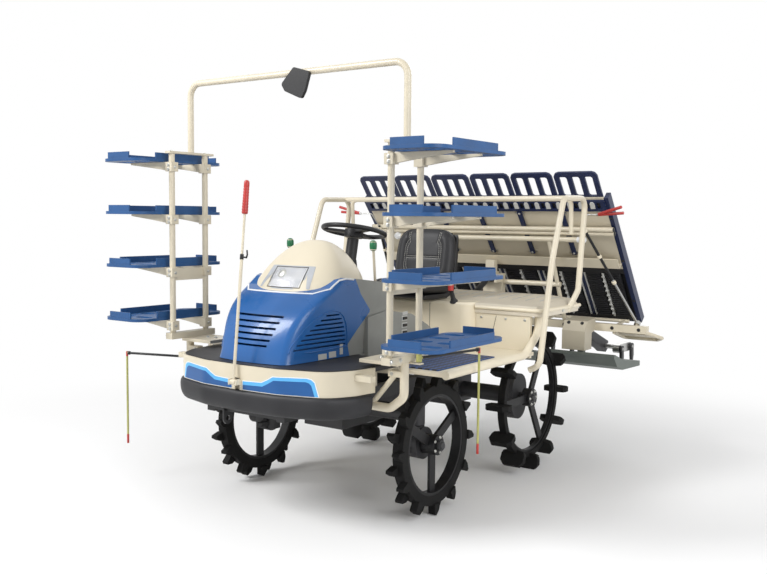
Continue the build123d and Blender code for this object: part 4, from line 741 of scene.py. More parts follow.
class TRANSPLANTER_OT_grips(bpy.types.Operator):
    """Pole grip and hook, lever knobs and boot, and the red tips of the side markers"""

    bl_idname = "transplanter.grips"
    bl_label = "Grips and Knobs"

    # ends of the pole as (station, z), and how far up it the fittings stand
    pole_foot = (-0.836, 0.740)
    pole_top = (-0.740, 1.700)
    grip_length = 0.158
    ridges = 9
    ridge_pitch = 0.014
    hook_distance = 0.600
    hook_ring = ((0.0085, 0), (0.0095, 0.002), (0.0095, 0.024), (0.0085, 0.026))
    hook_bend = ((0.008, 0, 0), (0.030, 0, -0.002), (0.036, 0, 0.012), (0.034, 0, 0.034))
    sleeve_profile = ((0.0068, 0), (0.0078, 0.004), (0.0078, 0.560), (0.0066, 0.566))
    # feet of the knobs and ends of the boot, as x, station and z, and their (radius, height) pairs
    lever_knob_foot = (0.284, -0.094, 1.358)
    lever_knob_profile = ((0.009, 0), (0.015, 0.003), (0.0185, 0.012), (0.0195, 0.026), (0.0190, 0.040),
                          (0.0150, 0.050), (0.008, 0.0545), (0.001, 0.0555))
    seat_knob_foot = (0.3045, 0.660, 1.106)
    seat_knob_profile = ((0.010, 0), (0.0165, 0.003), (0.0172, 0.030), (0.0168, 0.052), (0.012, 0.0600),
                         (0.001, 0.0615))
    boot_foot = (0.3003, 0.7055, 1.0385)
    boot_top = (0.304, 0.666, 1.108)
    boot_profile = ((0.024, 0), (0.024, 0.004), (0.018, 0.007), (0.019, 0.012), (0.0155, 0.016),
                    (0.0165, 0.021), (0.0135, 0.025), (0.014, 0.040), (0.0125, 0.060), (0.012, 0.078))
    # the side markers' pivots as x and station, and by side the height, angle outwards and reach
    marker_pivot = (0.779, -0.408)
    markers = {"left": (0.880, 80, 0.440), "right": (0.738, -17, 0.395)}
    marker_stop = ((0.007, 0), (0.0105, 0.002), (0.0105, 0.014), (0.007, 0.015))
    marker_end = ((0.0058, -0.020), (0.0064, -0.018), (0.0064, 0.006), (0.0050, 0.0095), (0.001, 0.010))
    marker_tip = ((0.0050, 0), (0.0066, 0.002), (0.0066, 0.052), (0.0058, 0.055))

    def execute(self, context):
        self.dress_pole()
        shape = bmesh.new()
        x, y, z = self.lever_knob_foot
        for sign in (1, -1):
            add_turned(shape, Vector((sign * x, station(y), z)), UP, self.lever_knob_profile, 24)
        piece("lever_knobs", shape, "green_knob", "chassis")
        shape = bmesh.new()
        add_turned(shape, self.placed(self.seat_knob_foot), UP, self.seat_knob_profile, 24)
        piece("seat_lever_knob", shape, "red_grip", "chassis")
        shape = bmesh.new()
        low, high = self.placed(self.boot_foot), self.placed(self.boot_top)
        add_turned(shape, low, high - low, self.boot_profile, 20)
        piece("seat_lever_boot", shape, "black_rubber", "chassis")
        for side, sign in SIDES:
            self.dress_marker(side, sign)
        return {"FINISHED"}

    def placed(self, place):
        """Row frame point of x, a station and z."""
        x, y, z = place
        return Vector((x, station(y), z))

    def dress_pole(self):
        """Ridged grip, hook and sleeve of the centre pole."""
        foot, top = self.placed((0, *self.pole_foot)), self.placed((0, *self.pole_top))
        run = (top - foot).normalized()
        shape = bmesh.new()
        profile = [(0.0122, 0), (0.0150, 0.004)]
        for k in range(self.ridges):
            wide, start = 0.0155 - 0.0002 * k, k * self.ridge_pitch
            profile += [(wide, start + 0.010), (wide - 0.0012, start + 0.014), (wide, start + 0.018)]
        profile += [(0.0137, 0.150), (0.0120, 0.158), (0.0070, 0.162), (0.001, 0.163)]
        add_turned(shape, top - run * self.grip_length, run, profile, 20)
        piece("pole_grip", shape, "red_grip", "centre_pole")
        shape = bmesh.new()
        at_hook = foot + run * self.hook_distance
        add_turned(shape, at_hook - run * 0.012, run, self.hook_ring, 16)
        add_path(shape, [at_hook + Vector(bend) for bend in self.hook_bend], 0.004, 8)
        piece("pole_hook", shape, "black_plastic", "centre_pole")
        shape = bmesh.new()
        add_turned(shape, foot + run * 0.030, run, self.sleeve_profile, 16)
        piece("pole_sleeve", shape, "cream_paint", "centre_pole")

    def dress_marker(self, side, sign):
        """Sleeve on the level rod of a side marker, and red tips on its hanging rod."""
        z, degrees, reach = self.markers[side]
        x, y = self.marker_pivot
        pivot = Vector((sign * x, station(y), z))
        angle = math.radians(degrees)
        away = Vector((sign * math.cos(angle), math.sin(angle), 0))
        shape = bmesh.new()
        add_path(shape, (pivot + away * 0.020, pivot + away * (reach - 0.012)), 0.0068, 12)
        add_turned(shape, pivot + away * (reach - 0.022), away, self.marker_stop, 14)
        piece(f"side_marker_sleeve_{side}", shape, "black_plastic", f"side_marker_{side}")
        shape = bmesh.new()
        add_turned(shape, pivot + away * reach, UP, self.marker_end, 14)
        add_turned(shape, self.rod_foot(side) - UP * 0.0008, UP, self.marker_tip, 14)
        piece(f"side_marker_tip_{side}", shape, "red_grip", f"side_marker_{side}")

    def rod_foot(self, side):
        """Middle of the lowest end of a side marker's hanging rod."""
        mesh = frame["nodes"][f"side_marker_{side}"].data
        low = min(v.co.z for v in mesh.vertices)
        spots = [v.co for v in mesh.vertices if v.co.z < low + 0.001]
        return sum((Vector(c) for c in spots), Vector()) / len(spots)


class TRANSPLANTER_OT_seat(bpy.types.Operator):
    """Vinyl cushion and backrest with bolsters, piping and stitched channels, on a moulded shell"""

    bl_idname = "transplanter.seat"
    bl_label = "Seat"

    # length, half thickness, middle of the pad as (station, z), slope up the length in degrees
    pads = {"cushion": (0.335, 0.044, (0.686, 1.108), -3.0),
            "backrest": (0.350, 0.044, (0.864, 1.289), 79.0)}
    # where the middle panel ends across and where its seam crosses it, from -1 to 1
    panel_edge = 0.60
    panel_seam = -0.05
    # heights of the bolsters and of the panel's crown, depths of the channels at its edges and seam
    bolster_height = 0.011
    crown_height = 0.004
    edge_channel = 0.006
    seam_channel = 0.005
    channel_width = 0.030
    # how square a pad's corners and edges are, and how full its underside is against its top
    corner_power = 5
    edge_power = 7
    underside = 0.75
    cells = 56
    piping_edge = 0.972
    piping_steps = 26
    piping_radius = 0.0035
    stitch_radius = 0.0010
    # the shell in side view, as (station, z)
    shell = ((0.535, 1.062), (0.560, 1.052), (0.800, 1.048), (0.880, 1.075), (0.918, 1.180), (0.934, 1.400),
             (0.926, 1.432), (0.912, 1.400), (0.884, 1.180), (0.846, 1.098), (0.790, 1.078), (0.560, 1.078))

    def execute(self, context):
        for name in self.pads:
            shape = bmesh.new()
            self.draw_pad(shape, name)
            made = piece(f"seat_{name}", shape, "vinyl", "chassis", angle=180)
            if name == "cushion":
                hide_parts("seat")
            shape = bmesh.new()
            self.draw_piping(shape, name)
            piece(f"seat_{name}_piping", shape, "black_plastic", "chassis", angle=180)
            shape = bmesh.new()
            self.draw_stitches(shape, name)
            piece(f"seat_{name}_stitches", shape, "stitching", "chassis")
        shape = bmesh.new()
        half = sizes().seat_half_width - 0.012
        add_slab(shape, [(-half, station(y), z) for y, z in self.shell], ACROSS * 2 * half)
        piece("seat_shell", shape, "black_plastic", "chassis", bevel=0.004)
        return {"FINISHED"}

    def place(self, name, x, along, rise):
        """Row frame point of a pad: across, along its length and square off its face."""
        _, _, (y, z), slope = self.pads[name]
        a = math.radians(slope)
        return Vector((x, station(y) + along * math.cos(a) - rise * math.sin(a),
                       z + along * math.sin(a) + rise * math.cos(a)))

    def on_pad(self, name, a, b, top=True, lift=0.0):
        """Point of a pad's skin: a across and b along from -1 to 1."""
        length, thick, _, _ = self.pads[name]
        rim = max(abs(a), abs(b))
        power = self.corner_power
        corner = (abs(a) ** power + abs(b) ** power) ** (1 / power)
        fit = rim / corner if corner else 1.0
        half = sizes().seat_half_width
        if name == "backrest":
            half *= 1.0 - 0.10 * max(0.0, b) ** 2
        round_off = math.sqrt(max(0.0, 1 - rim ** self.edge_power))
        rise = thick * round_off
        if top:
            beyond_panel = abs(a) - self.panel_edge
            bolster = min(1.0, max(0.0, beyond_panel / 0.2))
            rise += self.bolster_height * (3 * bolster ** 2 - 2 * bolster ** 3) * round_off
            fade = 1 if abs(b) < 0.9 else 0.4
            rise -= self.edge_channel * math.exp(-(beyond_panel / self.channel_width) ** 2) * fade
            if beyond_panel < 0:
                across_seam = (b - self.panel_seam) / self.channel_width
                rise -= self.seam_channel * math.exp(-across_seam ** 2)
                rise += self.crown_height * math.sin(math.pi * (a / self.panel_edge + 1) / 2)
            rise += lift
        else:
            rise *= -self.underside
        return self.place(name, half * a * fit, length / 2 * b * fit, rise)

    def draw_pad(self, shape, name):
        """Top and underside of a pad, joined at the rim, with narrower cells there."""
        count = self.cells
        steps = [math.sin(math.pi / 2 * t) for t in spread(-1, 1, count)]
        top = [[shape.verts.new(self.on_pad(name, a, b)) for b in steps] for a in steps]
        low = [[None] * (count + 1) for _ in steps]
        for i, a in enumerate(steps):
            for j, b in enumerate(steps):
                edge = i in (0, count) or j in (0, count)
                low[i][j] = top[i][j] if edge else shape.verts.new(self.on_pad(name, a, b, top=False))
        for i in range(count):
            for j in range(count):
                shape.faces.new((top[i][j], top[i + 1][j], top[i + 1][j + 1], top[i][j + 1]))
                shape.faces.new((low[i][j], low[i][j + 1], low[i + 1][j + 1], low[i + 1][j]))

    def draw_piping(self, shape, name):
        """Round cord just inside the rim of a pad."""
        rim = self.piping_edge
        steps = spread(-rim, rim, self.piping_steps)[:-1]
        ring = [(rim, t) for t in steps] + [(-t, rim) for t in steps]
        ring += [(-rim, -t) for t in steps] + [(t, -rim) for t in steps]
        points = [self.on_pad(name, a, b, lift=0.001) for a, b in ring]
        add_path(shape, points + points[:1], self.piping_radius, 8)

    def draw_stitches(self, shape, name):
        """Stitches on both sides of the panel's edges and of its seam."""
        half = sizes().stitch_length / 2
        lines = []
        for side in (1, -1):
            for off in (-0.038, 0.038):
                lines.append([(side * (self.panel_edge + off), b) for b in spread(-0.86, 0.86, 24)])
        for off in (-0.036, 0.036):
            lines.append([(a, self.panel_seam + off) for a in spread(-0.52, 0.52, 20)])
        for line in lines:
            runs_along = line[0][0] == line[-1][0]
            da = 0 if runs_along else half / sizes().seat_half_width
            db = half / (self.pads[name][0] / 2) if runs_along else 0
            for a, b in line:
                ends = [self.on_pad(name, a + k * da, b + k * db, lift=0.0006) for k in (-1, 1)]
                add_path(shape, ends, self.stitch_radius, 6)


class TRANSPLANTER_OT_console_fittings(bpy.types.Operator):
    """Plain switches and a bare plate on the console, and the cap of the steering wheel"""

    bl_idname = "transplanter.console_fittings"
    bl_label = "Console Fittings"

    switch_station = 0.178
    switch_heights = (0.985, 0.947, 0.908)
    label_place = (0.184, 1.012)
    beside = 0.6
    # the steering wheel's middle as (station, z) and how far its axis leans back
    wheel_middle = (0.118, 1.455)
    wheel_lean = math.radians(12)
    cap_profile = ((0.045, -0.001), (0.044, 0.003), (0.036, 0.007), (0.014, 0.009), (0.001, 0.0092))

    def execute(self, context):
        shape, plates = bmesh.new(), bmesh.new()
        for z in self.switch_heights:
            start = (self.beside, station(self.switch_station), z)
            point, normal = surface("console", start, -ACROSS)
            add_box(plates, point + normal * 0.001, BACK * 0.026, UP * 0.014, normal * 0.001)
            add_box(shape, point + normal * 0.004, BACK * 0.019, UP * 0.008, normal * 0.004)
        y, z = self.label_place
        point, normal = surface("console", (self.beside, station(y), z), -ACROSS)
        add_box(plates, point + normal * 0.0008, BACK * 0.024, UP * 0.009, normal * 0.0008)
        piece("console_switches", shape, "black_plastic", "chassis", bevel=0.002)
        piece("console_plates", plates, "silver_plastic", "chassis", bevel=0.0006)
        axis = Vector((0, math.sin(self.wheel_lean), math.cos(self.wheel_lean)))
        y, z = self.wheel_middle
        start = Vector((0, station(y), z)) + axis * 0.3
        shape = bmesh.new()
        add_turned(shape, surface("steering_wheel", start, -axis)[0], axis, self.cap_profile, 28)
        piece("wheel_cap", shape, "black_rubber", "steering_wheel")
        return {"FINISHED"}


class TRANSPLANTER_OT_bolts(bpy.types.Operator):
    """Bolts on the racks, the platform, the seat housing and the wheel hubs, and the axles' caps"""

    bl_idname = "transplanter.bolts"
    bl_label = "Bolts"

    tray_levels = (0.968, 1.259, 1.546, 1.829)
    post_x = 0.719
    post_stations = (-0.565, -0.322)
    arm_stations = (-0.585, -0.510, -0.380, -0.300)
    arm_places = (0.560, 0.620)
    platform_stations = (0.780, 1.02, 1.26)
    housing_places = (0.46, 0.62, 0.74)
    # station, height, radius of the ring of bolts, their number
    axles = {"front": (0.0, 0.366, 0.040, 5), "rear": (1.115, 0.440, 0.042, 6)}
    beside = 1.3
    cap_profile = ((0.021, -0.001), (0.021, 0.004), (0.017, 0.009), (0.007, 0.011), (0.001, 0.0112))

    def execute(self, context):
        shape = bmesh.new()
        for sign in (1, -1):
            self.bolt_rack(shape, sign)
        piece("rack_bolts", shape, "zinc", "chassis", bevel=0.0006)
        shape = bmesh.new()
        for sign in (1, -1):
            for y in self.platform_stations:
                start = (sign * self.beside, station(y), 1.000)
                add_bolt(shape, *surface("rear_platform", start, -sign * ACROSS), radius=0.008)
            for x in self.housing_places:
                start = (sign * x, station(0.55), 0.955)
                add_bolt(shape, *surface("seat_housing", start, BACK), radius=0.006)
        piece("platform_bolts", shape, "zinc", "chassis", bevel=0.0006)
        for axle, (y, z, ring, count) in self.axles.items():
            for side, sign in SIDES:
                centre = Vector((sign * self.beside, station(y), z))
                shaft = f"knuckle_{side}" if axle == "front" else "drive_line"
                shape = bmesh.new()
                add_turned(shape, *surface(shaft, centre, -sign * ACROSS), self.cap_profile, 24)
                body = body_of(frame["nodes"][shaft])[0]
                piece(f"{axle}_axle_cap_{side}", shape, "cast_black", body)
                shape = bmesh.new()
                wheel = f"{axle}_wheel_{side}"
                for c, s in around(count):
                    start = centre + Vector((0, ring * c, ring * s))
                    add_bolt(shape, *surface(wheel, start, -sign * ACROSS), radius=0.0065)
                piece(f"{axle}_hub_bolts_{side}", shape, "zinc", wheel, bevel=0.0005)
        return {"FINISHED"}

    def bolt_rack(self, shape, sign):
        """Bolts of the rack on one side, on its posts, their tops, its arms and its front."""
        for y in self.post_stations:
            toward = 1 if y == self.post_stations[0] else -1
            for level in self.tray_levels:
                for drop in (0.026, 0.048):
                    start = (sign * self.post_x, station(y) - toward * 0.2, level - drop)
                    add_bolt(shape, *surface("racks", start, toward * BACK), radius=0.0075)
                start = (sign * 0.64, station(y), level - 0.036)
                add_bolt(shape, *surface("racks", start, sign * ACROSS), radius=0.0065)
        for y in self.arm_stations:
            start = (sign * 0.85, station(y), 0.878)
            add_bolt(shape, *surface("racks", start, -sign * ACROSS), radius=0.008)
        for y in self.post_stations:
            start = (sign * self.post_x, station(y), 2.0)
            add_bolt(shape, *surface("racks", start, -UP), radius=0.008)
        for x in self.arm_places:
            add_bolt(shape, *surface("racks", (sign * x, station(-0.400), 1.0), -UP))
        start = (sign * 0.66, station(-0.60), 0.801)
        add_bolt(shape, *surface("racks", start, BACK), radius=0.007)


class TRANSPLANTER_OT_tank_fittings(bpy.types.Operator):
    """Belt lugs and guides, seedling hooks, clips, marker sleeves and frame fittings of the planting unit"""

    bl_idname = "transplanter.tank_fittings"
    bl_label = "Seedling Tank Fittings"

    # middles of the six seedling rows, and of the five strips between them
    rows = [-0.75 + 0.3 * k for k in range(6)]
    strips = [-0.6 + 0.3 * k for k in range(5)]
    # the belts' ribs, one above the other
    lugs = 21
    lug_foot = 0.058
    lug_pitch = 0.0182
    teeth = 9
    tooth_foot = 0.072
    tooth_pitch = 0.042
    guide_middle = 0.240
    guide_half = 0.196
    # the hooks along the top edge: their places, and their outline as (across, up the slope)
    hooks = [-0.825 + 0.075 * k for k in range(23)]
    hook_outline = ((-0.015, 0.990), (0.015, 0.990), (0.015, 1.028), (0.009, 1.041), (-0.009, 1.041),
                    (-0.015, 1.028))
    rail_x = 0.916
    rail_profile = ((0.0152, -0.002), (0.0152, 0.001), (0.010, 0.0036), (0.001, 0.004))
    # the line markers stand this far out of the tank; their ends are (across, up the slope)
    marker_out = 0.135
    marker_foot = (0.958, 0.110)
    marker_tip = (0.782, 0.914)
    fork_root = (0.893, 1.028)
    fork_ends = ((1.057, 1.087), (1.060, 1.042))
    clip_profile = ((0.010, 0), (0.0135, 0.002), (0.0135, 0.020), (0.010, 0.022))
    # the guard plates' corner as (station, z), their two directions, and their outline in these
    guard_place = (1.990, 0.7662)
    guard_back = Vector((0, 0.9755, -0.22))
    guard_up = Vector((0, 0.22, 0.9755))
    guard_outline = ((0.846, -0.074), (0.846, 0.078), (1.050, 0.078), (1.098, 0.003), (1.037, -0.074))
    guard_thickness = 0.0025
    beam_places = (0.30, 0.48, 0.82, 1.00)
    cover_places = (0.578, 0.672)
    ball_radius = 0.026
    ball_place = (0.70, 1.600, 1.400)

    def execute(self, context):
        shape = bmesh.new()
        for row in self.rows:
            for x in (row - 0.066, row + 0.066):
                for k in range(self.lugs):
                    place = on_tank(x, self.lug_foot + k * self.lug_pitch, 0.0145)
                    add_box(shape, place, ACROSS * 0.043, TANK_UP * 0.0028, TANK_OUT * 0.0032)
        piece("belt_lugs", shape, "black_rubber", "tank", bevel=0.0008)
        shape = bmesh.new()
        guide = TANK_UP * self.guide_half
        for x in self.rows:
            add_box(shape, on_tank(x, self.guide_middle, 0.004), ACROSS * 0.007, guide, TANK_OUT * 0.009)
            for k in range(self.teeth):
                place = on_tank(x, self.tooth_foot + k * self.tooth_pitch, 0.016)
                add_box(shape, place, ACROSS * 0.010, TANK_UP * 0.005, TANK_OUT * 0.005)
        for strip in self.strips:
            for x in (strip - 0.0195, strip + 0.0195):
                place = on_tank(x, self.guide_middle, 0.002)
                add_box(shape, place, ACROSS * 0.0045, guide, TANK_OUT * 0.007)
        piece("belt_guides", shape, "silver_plastic", "tank", bevel=0.0012)
        shape = bmesh.new()
        for x in self.hooks:
            outline = [on_tank(x + dx, v, 0.0265) for dx, v in self.hook_outline]
            add_slab(shape, outline, TANK_OUT * 0.006)
        piece("seedling_hooks", shape, "silver_plastic", "tank", bevel=0.0015)
        shape = bmesh.new()
        add_box(shape, on_tank(0, 1.010, 0.0132), ACROSS * 0.898, TANK_UP * 0.026, TANK_OUT * 0.0009)
        piece("hook_row_backing", shape, "black_plastic", "tank", bevel=0.0003)
        shape = bmesh.new()
        for strip in self.strips:
            for v in (0.612, 0.944):
                for x in (strip - 0.024, strip + 0.024):
                    place = on_tank(x, v, 0.0145)
                    add_box(shape, place, ACROSS * 0.008, TANK_UP * 0.007, TANK_OUT * 0.0025)
                add_bolt(shape, on_tank(strip, v, 0.025), TANK_OUT, radius=0.006)
        piece("strip_clips", shape, "zinc", "tank", bevel=0.0008)
        shape = bmesh.new()
        for sign in (1, -1):
            for v in (0.800, 0.833):
                add_turned(shape, on_tank(sign * 0.925, v, 0.040), sign * ACROSS, self.rail_profile, 18)
            for v in (0.20, 0.55, 0.90):
                add_bolt(shape, on_tank(sign * self.rail_x, v, 0.012), TANK_OUT, radius=0.007)
        piece("rail_caps", shape, "black_plastic", "tank")
        for side, sign in SIDES:
            self.dress_marker(side, sign)
        self.dress_frame()
        return {"FINISHED"}

    def at_marker(self, sign, place):
        """Place in the plane of the line markers, on one side."""
        x, v = place
        return on_tank(sign * x, v, self.marker_out)

    def dress_marker(self, side, sign):
        """Sleeve, clips and red fork of a line marker."""
        body = f"line_marker_{side}"
        foot, tip = self.at_marker(sign, self.marker_foot), self.at_marker(sign, self.marker_tip)
        run = tip - foot
        along = run.normalized()
        shape = bmesh.new()
        add_path(shape, (foot + run * 0.48, tip + along * 0.004), 0.0092, 12)
        piece(f"marker_sleeve_{side}", shape, "black_plastic", body)
        shape = bmesh.new()
        for share in (0.45, 0.72, 0.98):
            add_turned(shape, foot + run * share - along * 0.010, run, self.clip_profile, 14)
        piece(f"marker_clips_{side}", shape, "cream_plastic", body)
        shape = bmesh.new()
        root = self.at_marker(sign, self.fork_root)
        for place in self.fork_ends:
            end = self.at_marker(sign, place)
            away = (end - root).normalized()
            line = (root + away * 0.012, root + away * 0.020, end - away * 0.004, end + away * 0.003)
            add_path(shape, line, 0.0095, 12)
        piece(f"marker_fork_{side}", shape, "red_grip", body, angle=60)

    def dress_frame(self):
        """Guard plates, bolts and the white balls of the cross tube."""
        shape = bmesh.new()
        y, z = self.guard_place
        for sign in (1, -1):
            outline = [Vector((sign * x, station(y), z)) + self.guard_back * v
                       for x, v in self.guard_outline]
            add_slab(shape, outline, self.guard_up * self.guard_thickness)
        piece("guard_plates", shape, "brown_plate", "planter", bevel=0.0008)
        shape = bmesh.new()
        for sign in (1, -1):
            for x in self.beam_places:
                add_bolt(shape, *surface("planter_frame", (sign * x, station(1.6), 0.815), BACK))
            for x in self.cover_places:
                add_bolt(shape, *surface("box_covers", (sign * x, station(1.730), 1.2), -UP))
        piece("beam_bolts", shape, "black_plastic", "planter", bevel=0.0006)
        shape = bmesh.new()
        r = self.ball_radius
        ball = [(0.018, -0.020), *((r * math.cos(a), 0.014 + r * math.sin(a)) for a in
                                   map(math.radians, range(-45, 90, 15))), (0.001, 0.014 + r)]
        x, y, z = self.ball_place
        for sign in (1, -1):
            add_turned(shape, Vector((sign * x, station(y), z)), sign * ACROSS, ball, 24)
        piece("cross_tube_balls", shape, "white_line", "planter", angle=60)


class TRANSPLANTER_OT_platform_trim(bpy.types.Operator):
    """Rolled lip and tread ribs of the rear platform, body seams and the mirror's glass"""

    bl_idname = "transplanter.platform_trim"
    bl_label = "Platform Trim"

    lip_height = 1.014
    lip_start = 0.425
    lip_corner = 0.05
    lip_corner_steps = 6
    rib_places = [-0.72 + 0.09 * k for k in range(17)]
    rib_stations = ((0.985, 1.10), (1.13, 1.26))
    # ends of the seams: (x, z) on the seat housing's front, heights on the dash panel's sides
    front_seams = (((0.520, 0.80), (0.558, 0.97)), ((0.143, 0.80), (0.143, 1.025)))
    side_seam_station = -0.12
    side_seam = (0.90, 1.02)
    mirror_station = -0.4475
    mirror_middle = Vector((0.058, 0, 2.188))
    mirror_outline = ((0.055, 2.270), (0.158, 2.240), (0.128, 2.150), (0.104, 2.112), (-0.002, 2.156),
                      (-0.026, 2.192))
    # how far the glass stays inside the mirror's outline, and its thickness
    mirror_margin = 0.13
    mirror_depth = 0.0025

    def execute(self, context):
        low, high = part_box("rear_platform")
        z, turn, steps = self.lip_height, self.lip_corner, self.lip_corner_steps
        shape = bmesh.new()
        for sign in (1, -1):
            side, front = sign * (high.x - 0.004), low.y - 0.001
            line = [(sign * self.lip_start, front, z), (side - sign * turn, front, z)]
            for k in range(1, steps):
                a = math.pi / 2 * k / steps
                line.append((side - sign * turn * (1 - math.sin(a)), front + turn * (1 - math.cos(a)), z))
            line += [(side, low.y + turn, z), (side, high.y - 0.02, z)]
            add_path(shape, line, 0.011, 12)
        piece("platform_lip", shape, "cream_plastic", "chassis", angle=60)
        shape = bmesh.new()
        for x in self.rib_places:
            for ends in self.rib_stations:
                (a, out), (b, _) = [surface("rear_platform", (x, station(y), 1.5), -UP) for y in ends]
                add_box(shape, (a + b) / 2 + out * 0.0010, ACROSS * 0.004, (b - a) / 2, out * 0.0012)
        piece("platform_ribs", shape, "silver_plastic", "chassis", bevel=0.0008)
        shape = bmesh.new()
        for sign in (1, -1):
            for seam in self.front_seams:
                line = [surface("seat_housing", (sign * x, station(0.5), z), BACK)[0] for x, z in seam]
                add_path(shape, line, 0.0016, 6)
            y = station(self.side_seam_station)
            line = [surface("dash_panel", (sign * 0.8, y, z), -sign * ACROSS)[0] for z in self.side_seam]
            add_path(shape, line, 0.0014, 6)
        piece("body_seams", shape, "seam_shadow", "chassis")
        shape = bmesh.new()
        outline = []
        for x, z in self.mirror_outline:
            inward = (self.mirror_middle - Vector((x, 0, z))) * self.mirror_margin
            outline.append(Vector((x, station(self.mirror_station), z)) + inward)
        add_slab(shape, outline, BACK * self.mirror_depth)
        piece("mirror_glass", shape, "mirror_silver", "chassis", bevel=0.0006)
        return {"FINISHED"}


def camera_matrix():
    """Where the photograph was taken from."""
    forward = Vector((-math.sin(CAMERA_YAW) * math.cos(CAMERA_PITCH),
                      math.cos(CAMERA_YAW) * math.cos(CAMERA_PITCH), math.sin(CAMERA_PITCH)))
    level = Vector((math.cos(CAMERA_YAW), math.sin(CAMERA_YAW), 0))
    above = level.cross(forward)
    right = level * math.cos(CAMERA_ROLL) + above * math.sin(CAMERA_ROLL)
    up = above * math.cos(CAMERA_ROLL) - level * math.sin(CAMERA_ROLL)
    turn = Matrix((right, up, -forward)).transposed().to_4x4()
    place = CAMERA_FROM_AXLE + Vector((0, FRONT_AXLE_Y, 0))
    return Matrix.Translation(place) @ turn


def seen_share(tree):
    """One for rays that show a thing straight, mirrored or through glass, and nought for the others."""
    rays = add_node(tree, "LightPath").outputs
    either = add_node(tree, "Math", {0: rays["Is Camera Ray"], 1: rays["Is Glossy Ray"]},
                      operation="MAXIMUM")
    seen = add_node(tree, "Math", {0: either.outputs["Value"], 1: rays["Is Transmission Ray"]},
                    operation="MAXIMUM")
    return seen.outputs["Value"]


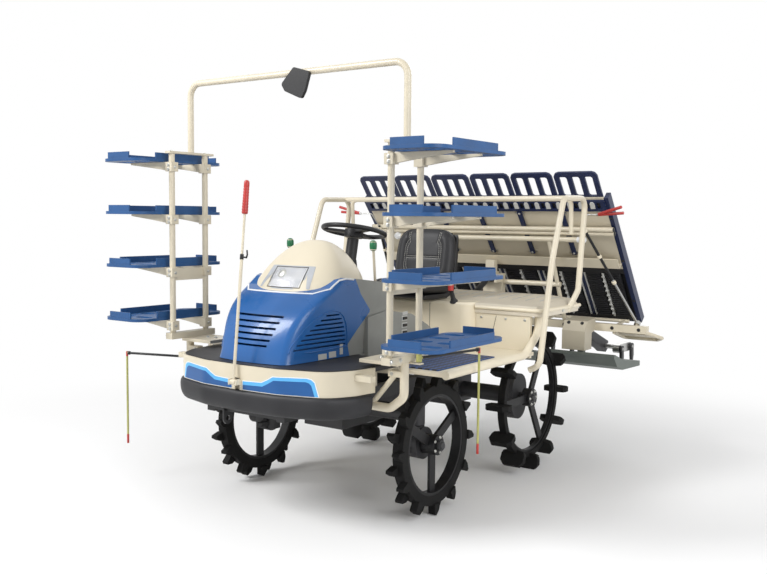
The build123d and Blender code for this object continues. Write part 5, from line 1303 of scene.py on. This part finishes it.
class TRANSPLANTER_OT_stage(bpy.types.Operator):
    """Pale floor, soft lamps and the camera at the photograph's viewpoint"""

    bl_idname = "transplanter.stage"
    bl_label = "Stage"

    sensor_width = 36.0
    floor_half = 60
    # the floor fades to white between these distances from the machine's middle
    fade_start = 1.6
    fade_end = 4.2
    sky_strength = 0.46
    # place, power in watts and width of each lamp, and the point that all of them face
    lamps = {"key_lamp": ((-3.0, -5.2, 5.0), 360, 2.6),
             "side_lamp": ((5.5, -2.4, 3.4), 200, 4.0),
             "back_lamp": ((0.0, 5.5, 4.5), 110, 4.0)}
    lamp_target = Vector((0, 0, 0.9))

    def execute(self, context):
        scene = context.scene
        scene.view_settings.view_transform = "Standard"
        lens = bpy.data.cameras.new("camera")
        lens.sensor_width = self.sensor_width
        lens.lens = FOCAL_PIXELS * self.sensor_width / PHOTO_WIDTH
        lens.shift_x = (PHOTO_WIDTH / 2 - CENTRE_X) / PHOTO_WIDTH
        lens.shift_y = (CENTRE_Y - PHOTO_HEIGHT / 2) / PHOTO_WIDTH
        camera = bpy.data.objects.new("camera", lens)
        camera.matrix_world = camera_matrix()
        scene.collection.objects.link(camera)
        scene.camera = camera
        self.add_floor(scene)
        self.add_sky(scene)
        for name, lamp in self.lamps.items():
            self.add_lamp(scene, name, *lamp)
        return {"FINISHED"}

    def add_floor(self, scene):
        """Pale sheet that keeps its shadows near the machine and is white beyond."""
        mesh = bpy.data.meshes.new("floor_sheet")
        shape = bmesh.new()
        bmesh.ops.create_grid(shape, x_segments=1, y_segments=1, size=self.floor_half)
        shape.to_mesh(mesh)
        shape.free()
        sheet = bpy.data.objects.new("studio_floor", mesh)
        sheet.location.z = -0.001
        scene.collection.objects.link(sheet)
        made = bpy.data.materials.new("studio_floor")
        made.use_nodes = True
        tree = made.node_tree
        shader = tree.nodes["Principled BSDF"]
        shader.inputs["Base Color"].default_value = (0.92, 0.92, 0.92, 1)
        shader.inputs["Roughness"].default_value = 0.9
        shader.inputs["Specular IOR Level"].default_value = 0.1
        place = add_node(tree, "TexCoord").outputs["Object"]
        length = add_node(tree, "VectorMath", {0: place}, operation="LENGTH").outputs["Value"]
        far = add_node(tree, "MapRange", {"Value": length, "From Min": self.fade_start,
                                          "From Max": self.fade_end}, interpolation_type="SMOOTHSTEP")
        share = add_node(tree, "Math", {0: far.outputs["Result"], 1: seen_share(tree)},
                         operation="MULTIPLY").outputs["Value"]
        white = add_node(tree, "Emission").outputs["Emission"]
        mix = add_node(tree, "MixShader", {0: share, 1: shader.outputs["BSDF"], 2: white})
        tree.links.new(mix.outputs["Shader"], tree.nodes["Material Output"].inputs["Surface"])
        mesh.materials.append(made)

    def add_sky(self, scene):
        """World that is white to look at and lights the machine more weakly."""
        world = bpy.data.worlds.new("studio")
        scene.world = world
        world.use_nodes = True
        tree = world.node_tree
        sky = tree.nodes["Background"]
        sky.inputs["Color"].default_value = (1, 1, 1, 1)
        sky.inputs["Strength"].default_value = self.sky_strength
        seen = add_node(tree, "Background", {"Color": (1, 1, 1, 1), "Strength": 1.0})
        mix = add_node(tree, "MixShader", {0: seen_share(tree), 1: sky.outputs["Background"],
                                           2: seen.outputs["Background"]})
        tree.links.new(mix.outputs["Shader"], tree.nodes["World Output"].inputs["Surface"])

    def add_lamp(self, scene, name, place, power, width):
        """Square soft lamp that faces the machine."""
        lamp = bpy.data.lights.new(name, "AREA")
        lamp.energy = power
        lamp.size = width
        holder = bpy.data.objects.new(name, lamp)
        holder.location = place
        aim = self.lamp_target - Vector(place)
        holder.rotation_euler = aim.to_track_quat("-Z", "Y").to_euler()
        scene.collection.objects.link(holder)


class TRANSPLANTER_PT_dressing(bpy.types.Panel):
    """Buttons for every piece of the dressing"""

    bl_idname = "TRANSPLANTER_PT_dressing"
    bl_label = "Rice Transplanter"
    bl_space_type = "VIEW_3D"
    bl_region_type = "UI"
    bl_category = "Transplanter"

    def draw(self, context):
        layout = self.layout
        for prop in ("cream", "blue", "tray_blue", "navy", "red", "sky_band", "knob_green"):
            layout.prop(context.scene.transplanter_colours, prop)
        for prop in ("bolt_radius", "seat_half_width", "stitch_length"):
            layout.prop(context.scene.transplanter_sizes, prop)
        for operator in OPERATORS:
            layout.operator(operator.bl_idname)


OPERATORS = (TRANSPLANTER_OT_finishes, TRANSPLANTER_OT_skirt_bands, TRANSPLANTER_OT_front_end,
             TRANSPLANTER_OT_dome, TRANSPLANTER_OT_headlamp, TRANSPLANTER_OT_hood_trim,
             TRANSPLANTER_OT_grips, TRANSPLANTER_OT_seat, TRANSPLANTER_OT_console_fittings,
             TRANSPLANTER_OT_bolts, TRANSPLANTER_OT_tank_fittings, TRANSPLANTER_OT_platform_trim,
             TRANSPLANTER_OT_stage)
CLASSES = (TransplanterColours, TransplanterSizes, *OPERATORS, TRANSPLANTER_PT_dressing)


def register():
    for cls in CLASSES:
        bpy.utils.register_class(cls)
    bpy.types.Scene.transplanter_colours = bpy.props.PointerProperty(type=TransplanterColours)
    bpy.types.Scene.transplanter_sizes = bpy.props.PointerProperty(type=TransplanterSizes)


def unregister():
    del bpy.types.Scene.transplanter_sizes
    del bpy.types.Scene.transplanter_colours
    for cls in reversed(CLASSES):
        bpy.utils.unregister_class(cls)


def main():
    """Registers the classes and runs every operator."""
    register()
    for operator in OPERATORS:
        group, name = operator.bl_idname.split(".")
        getattr(getattr(bpy.ops, group), name)()


if __name__ == "__main__":
    main()
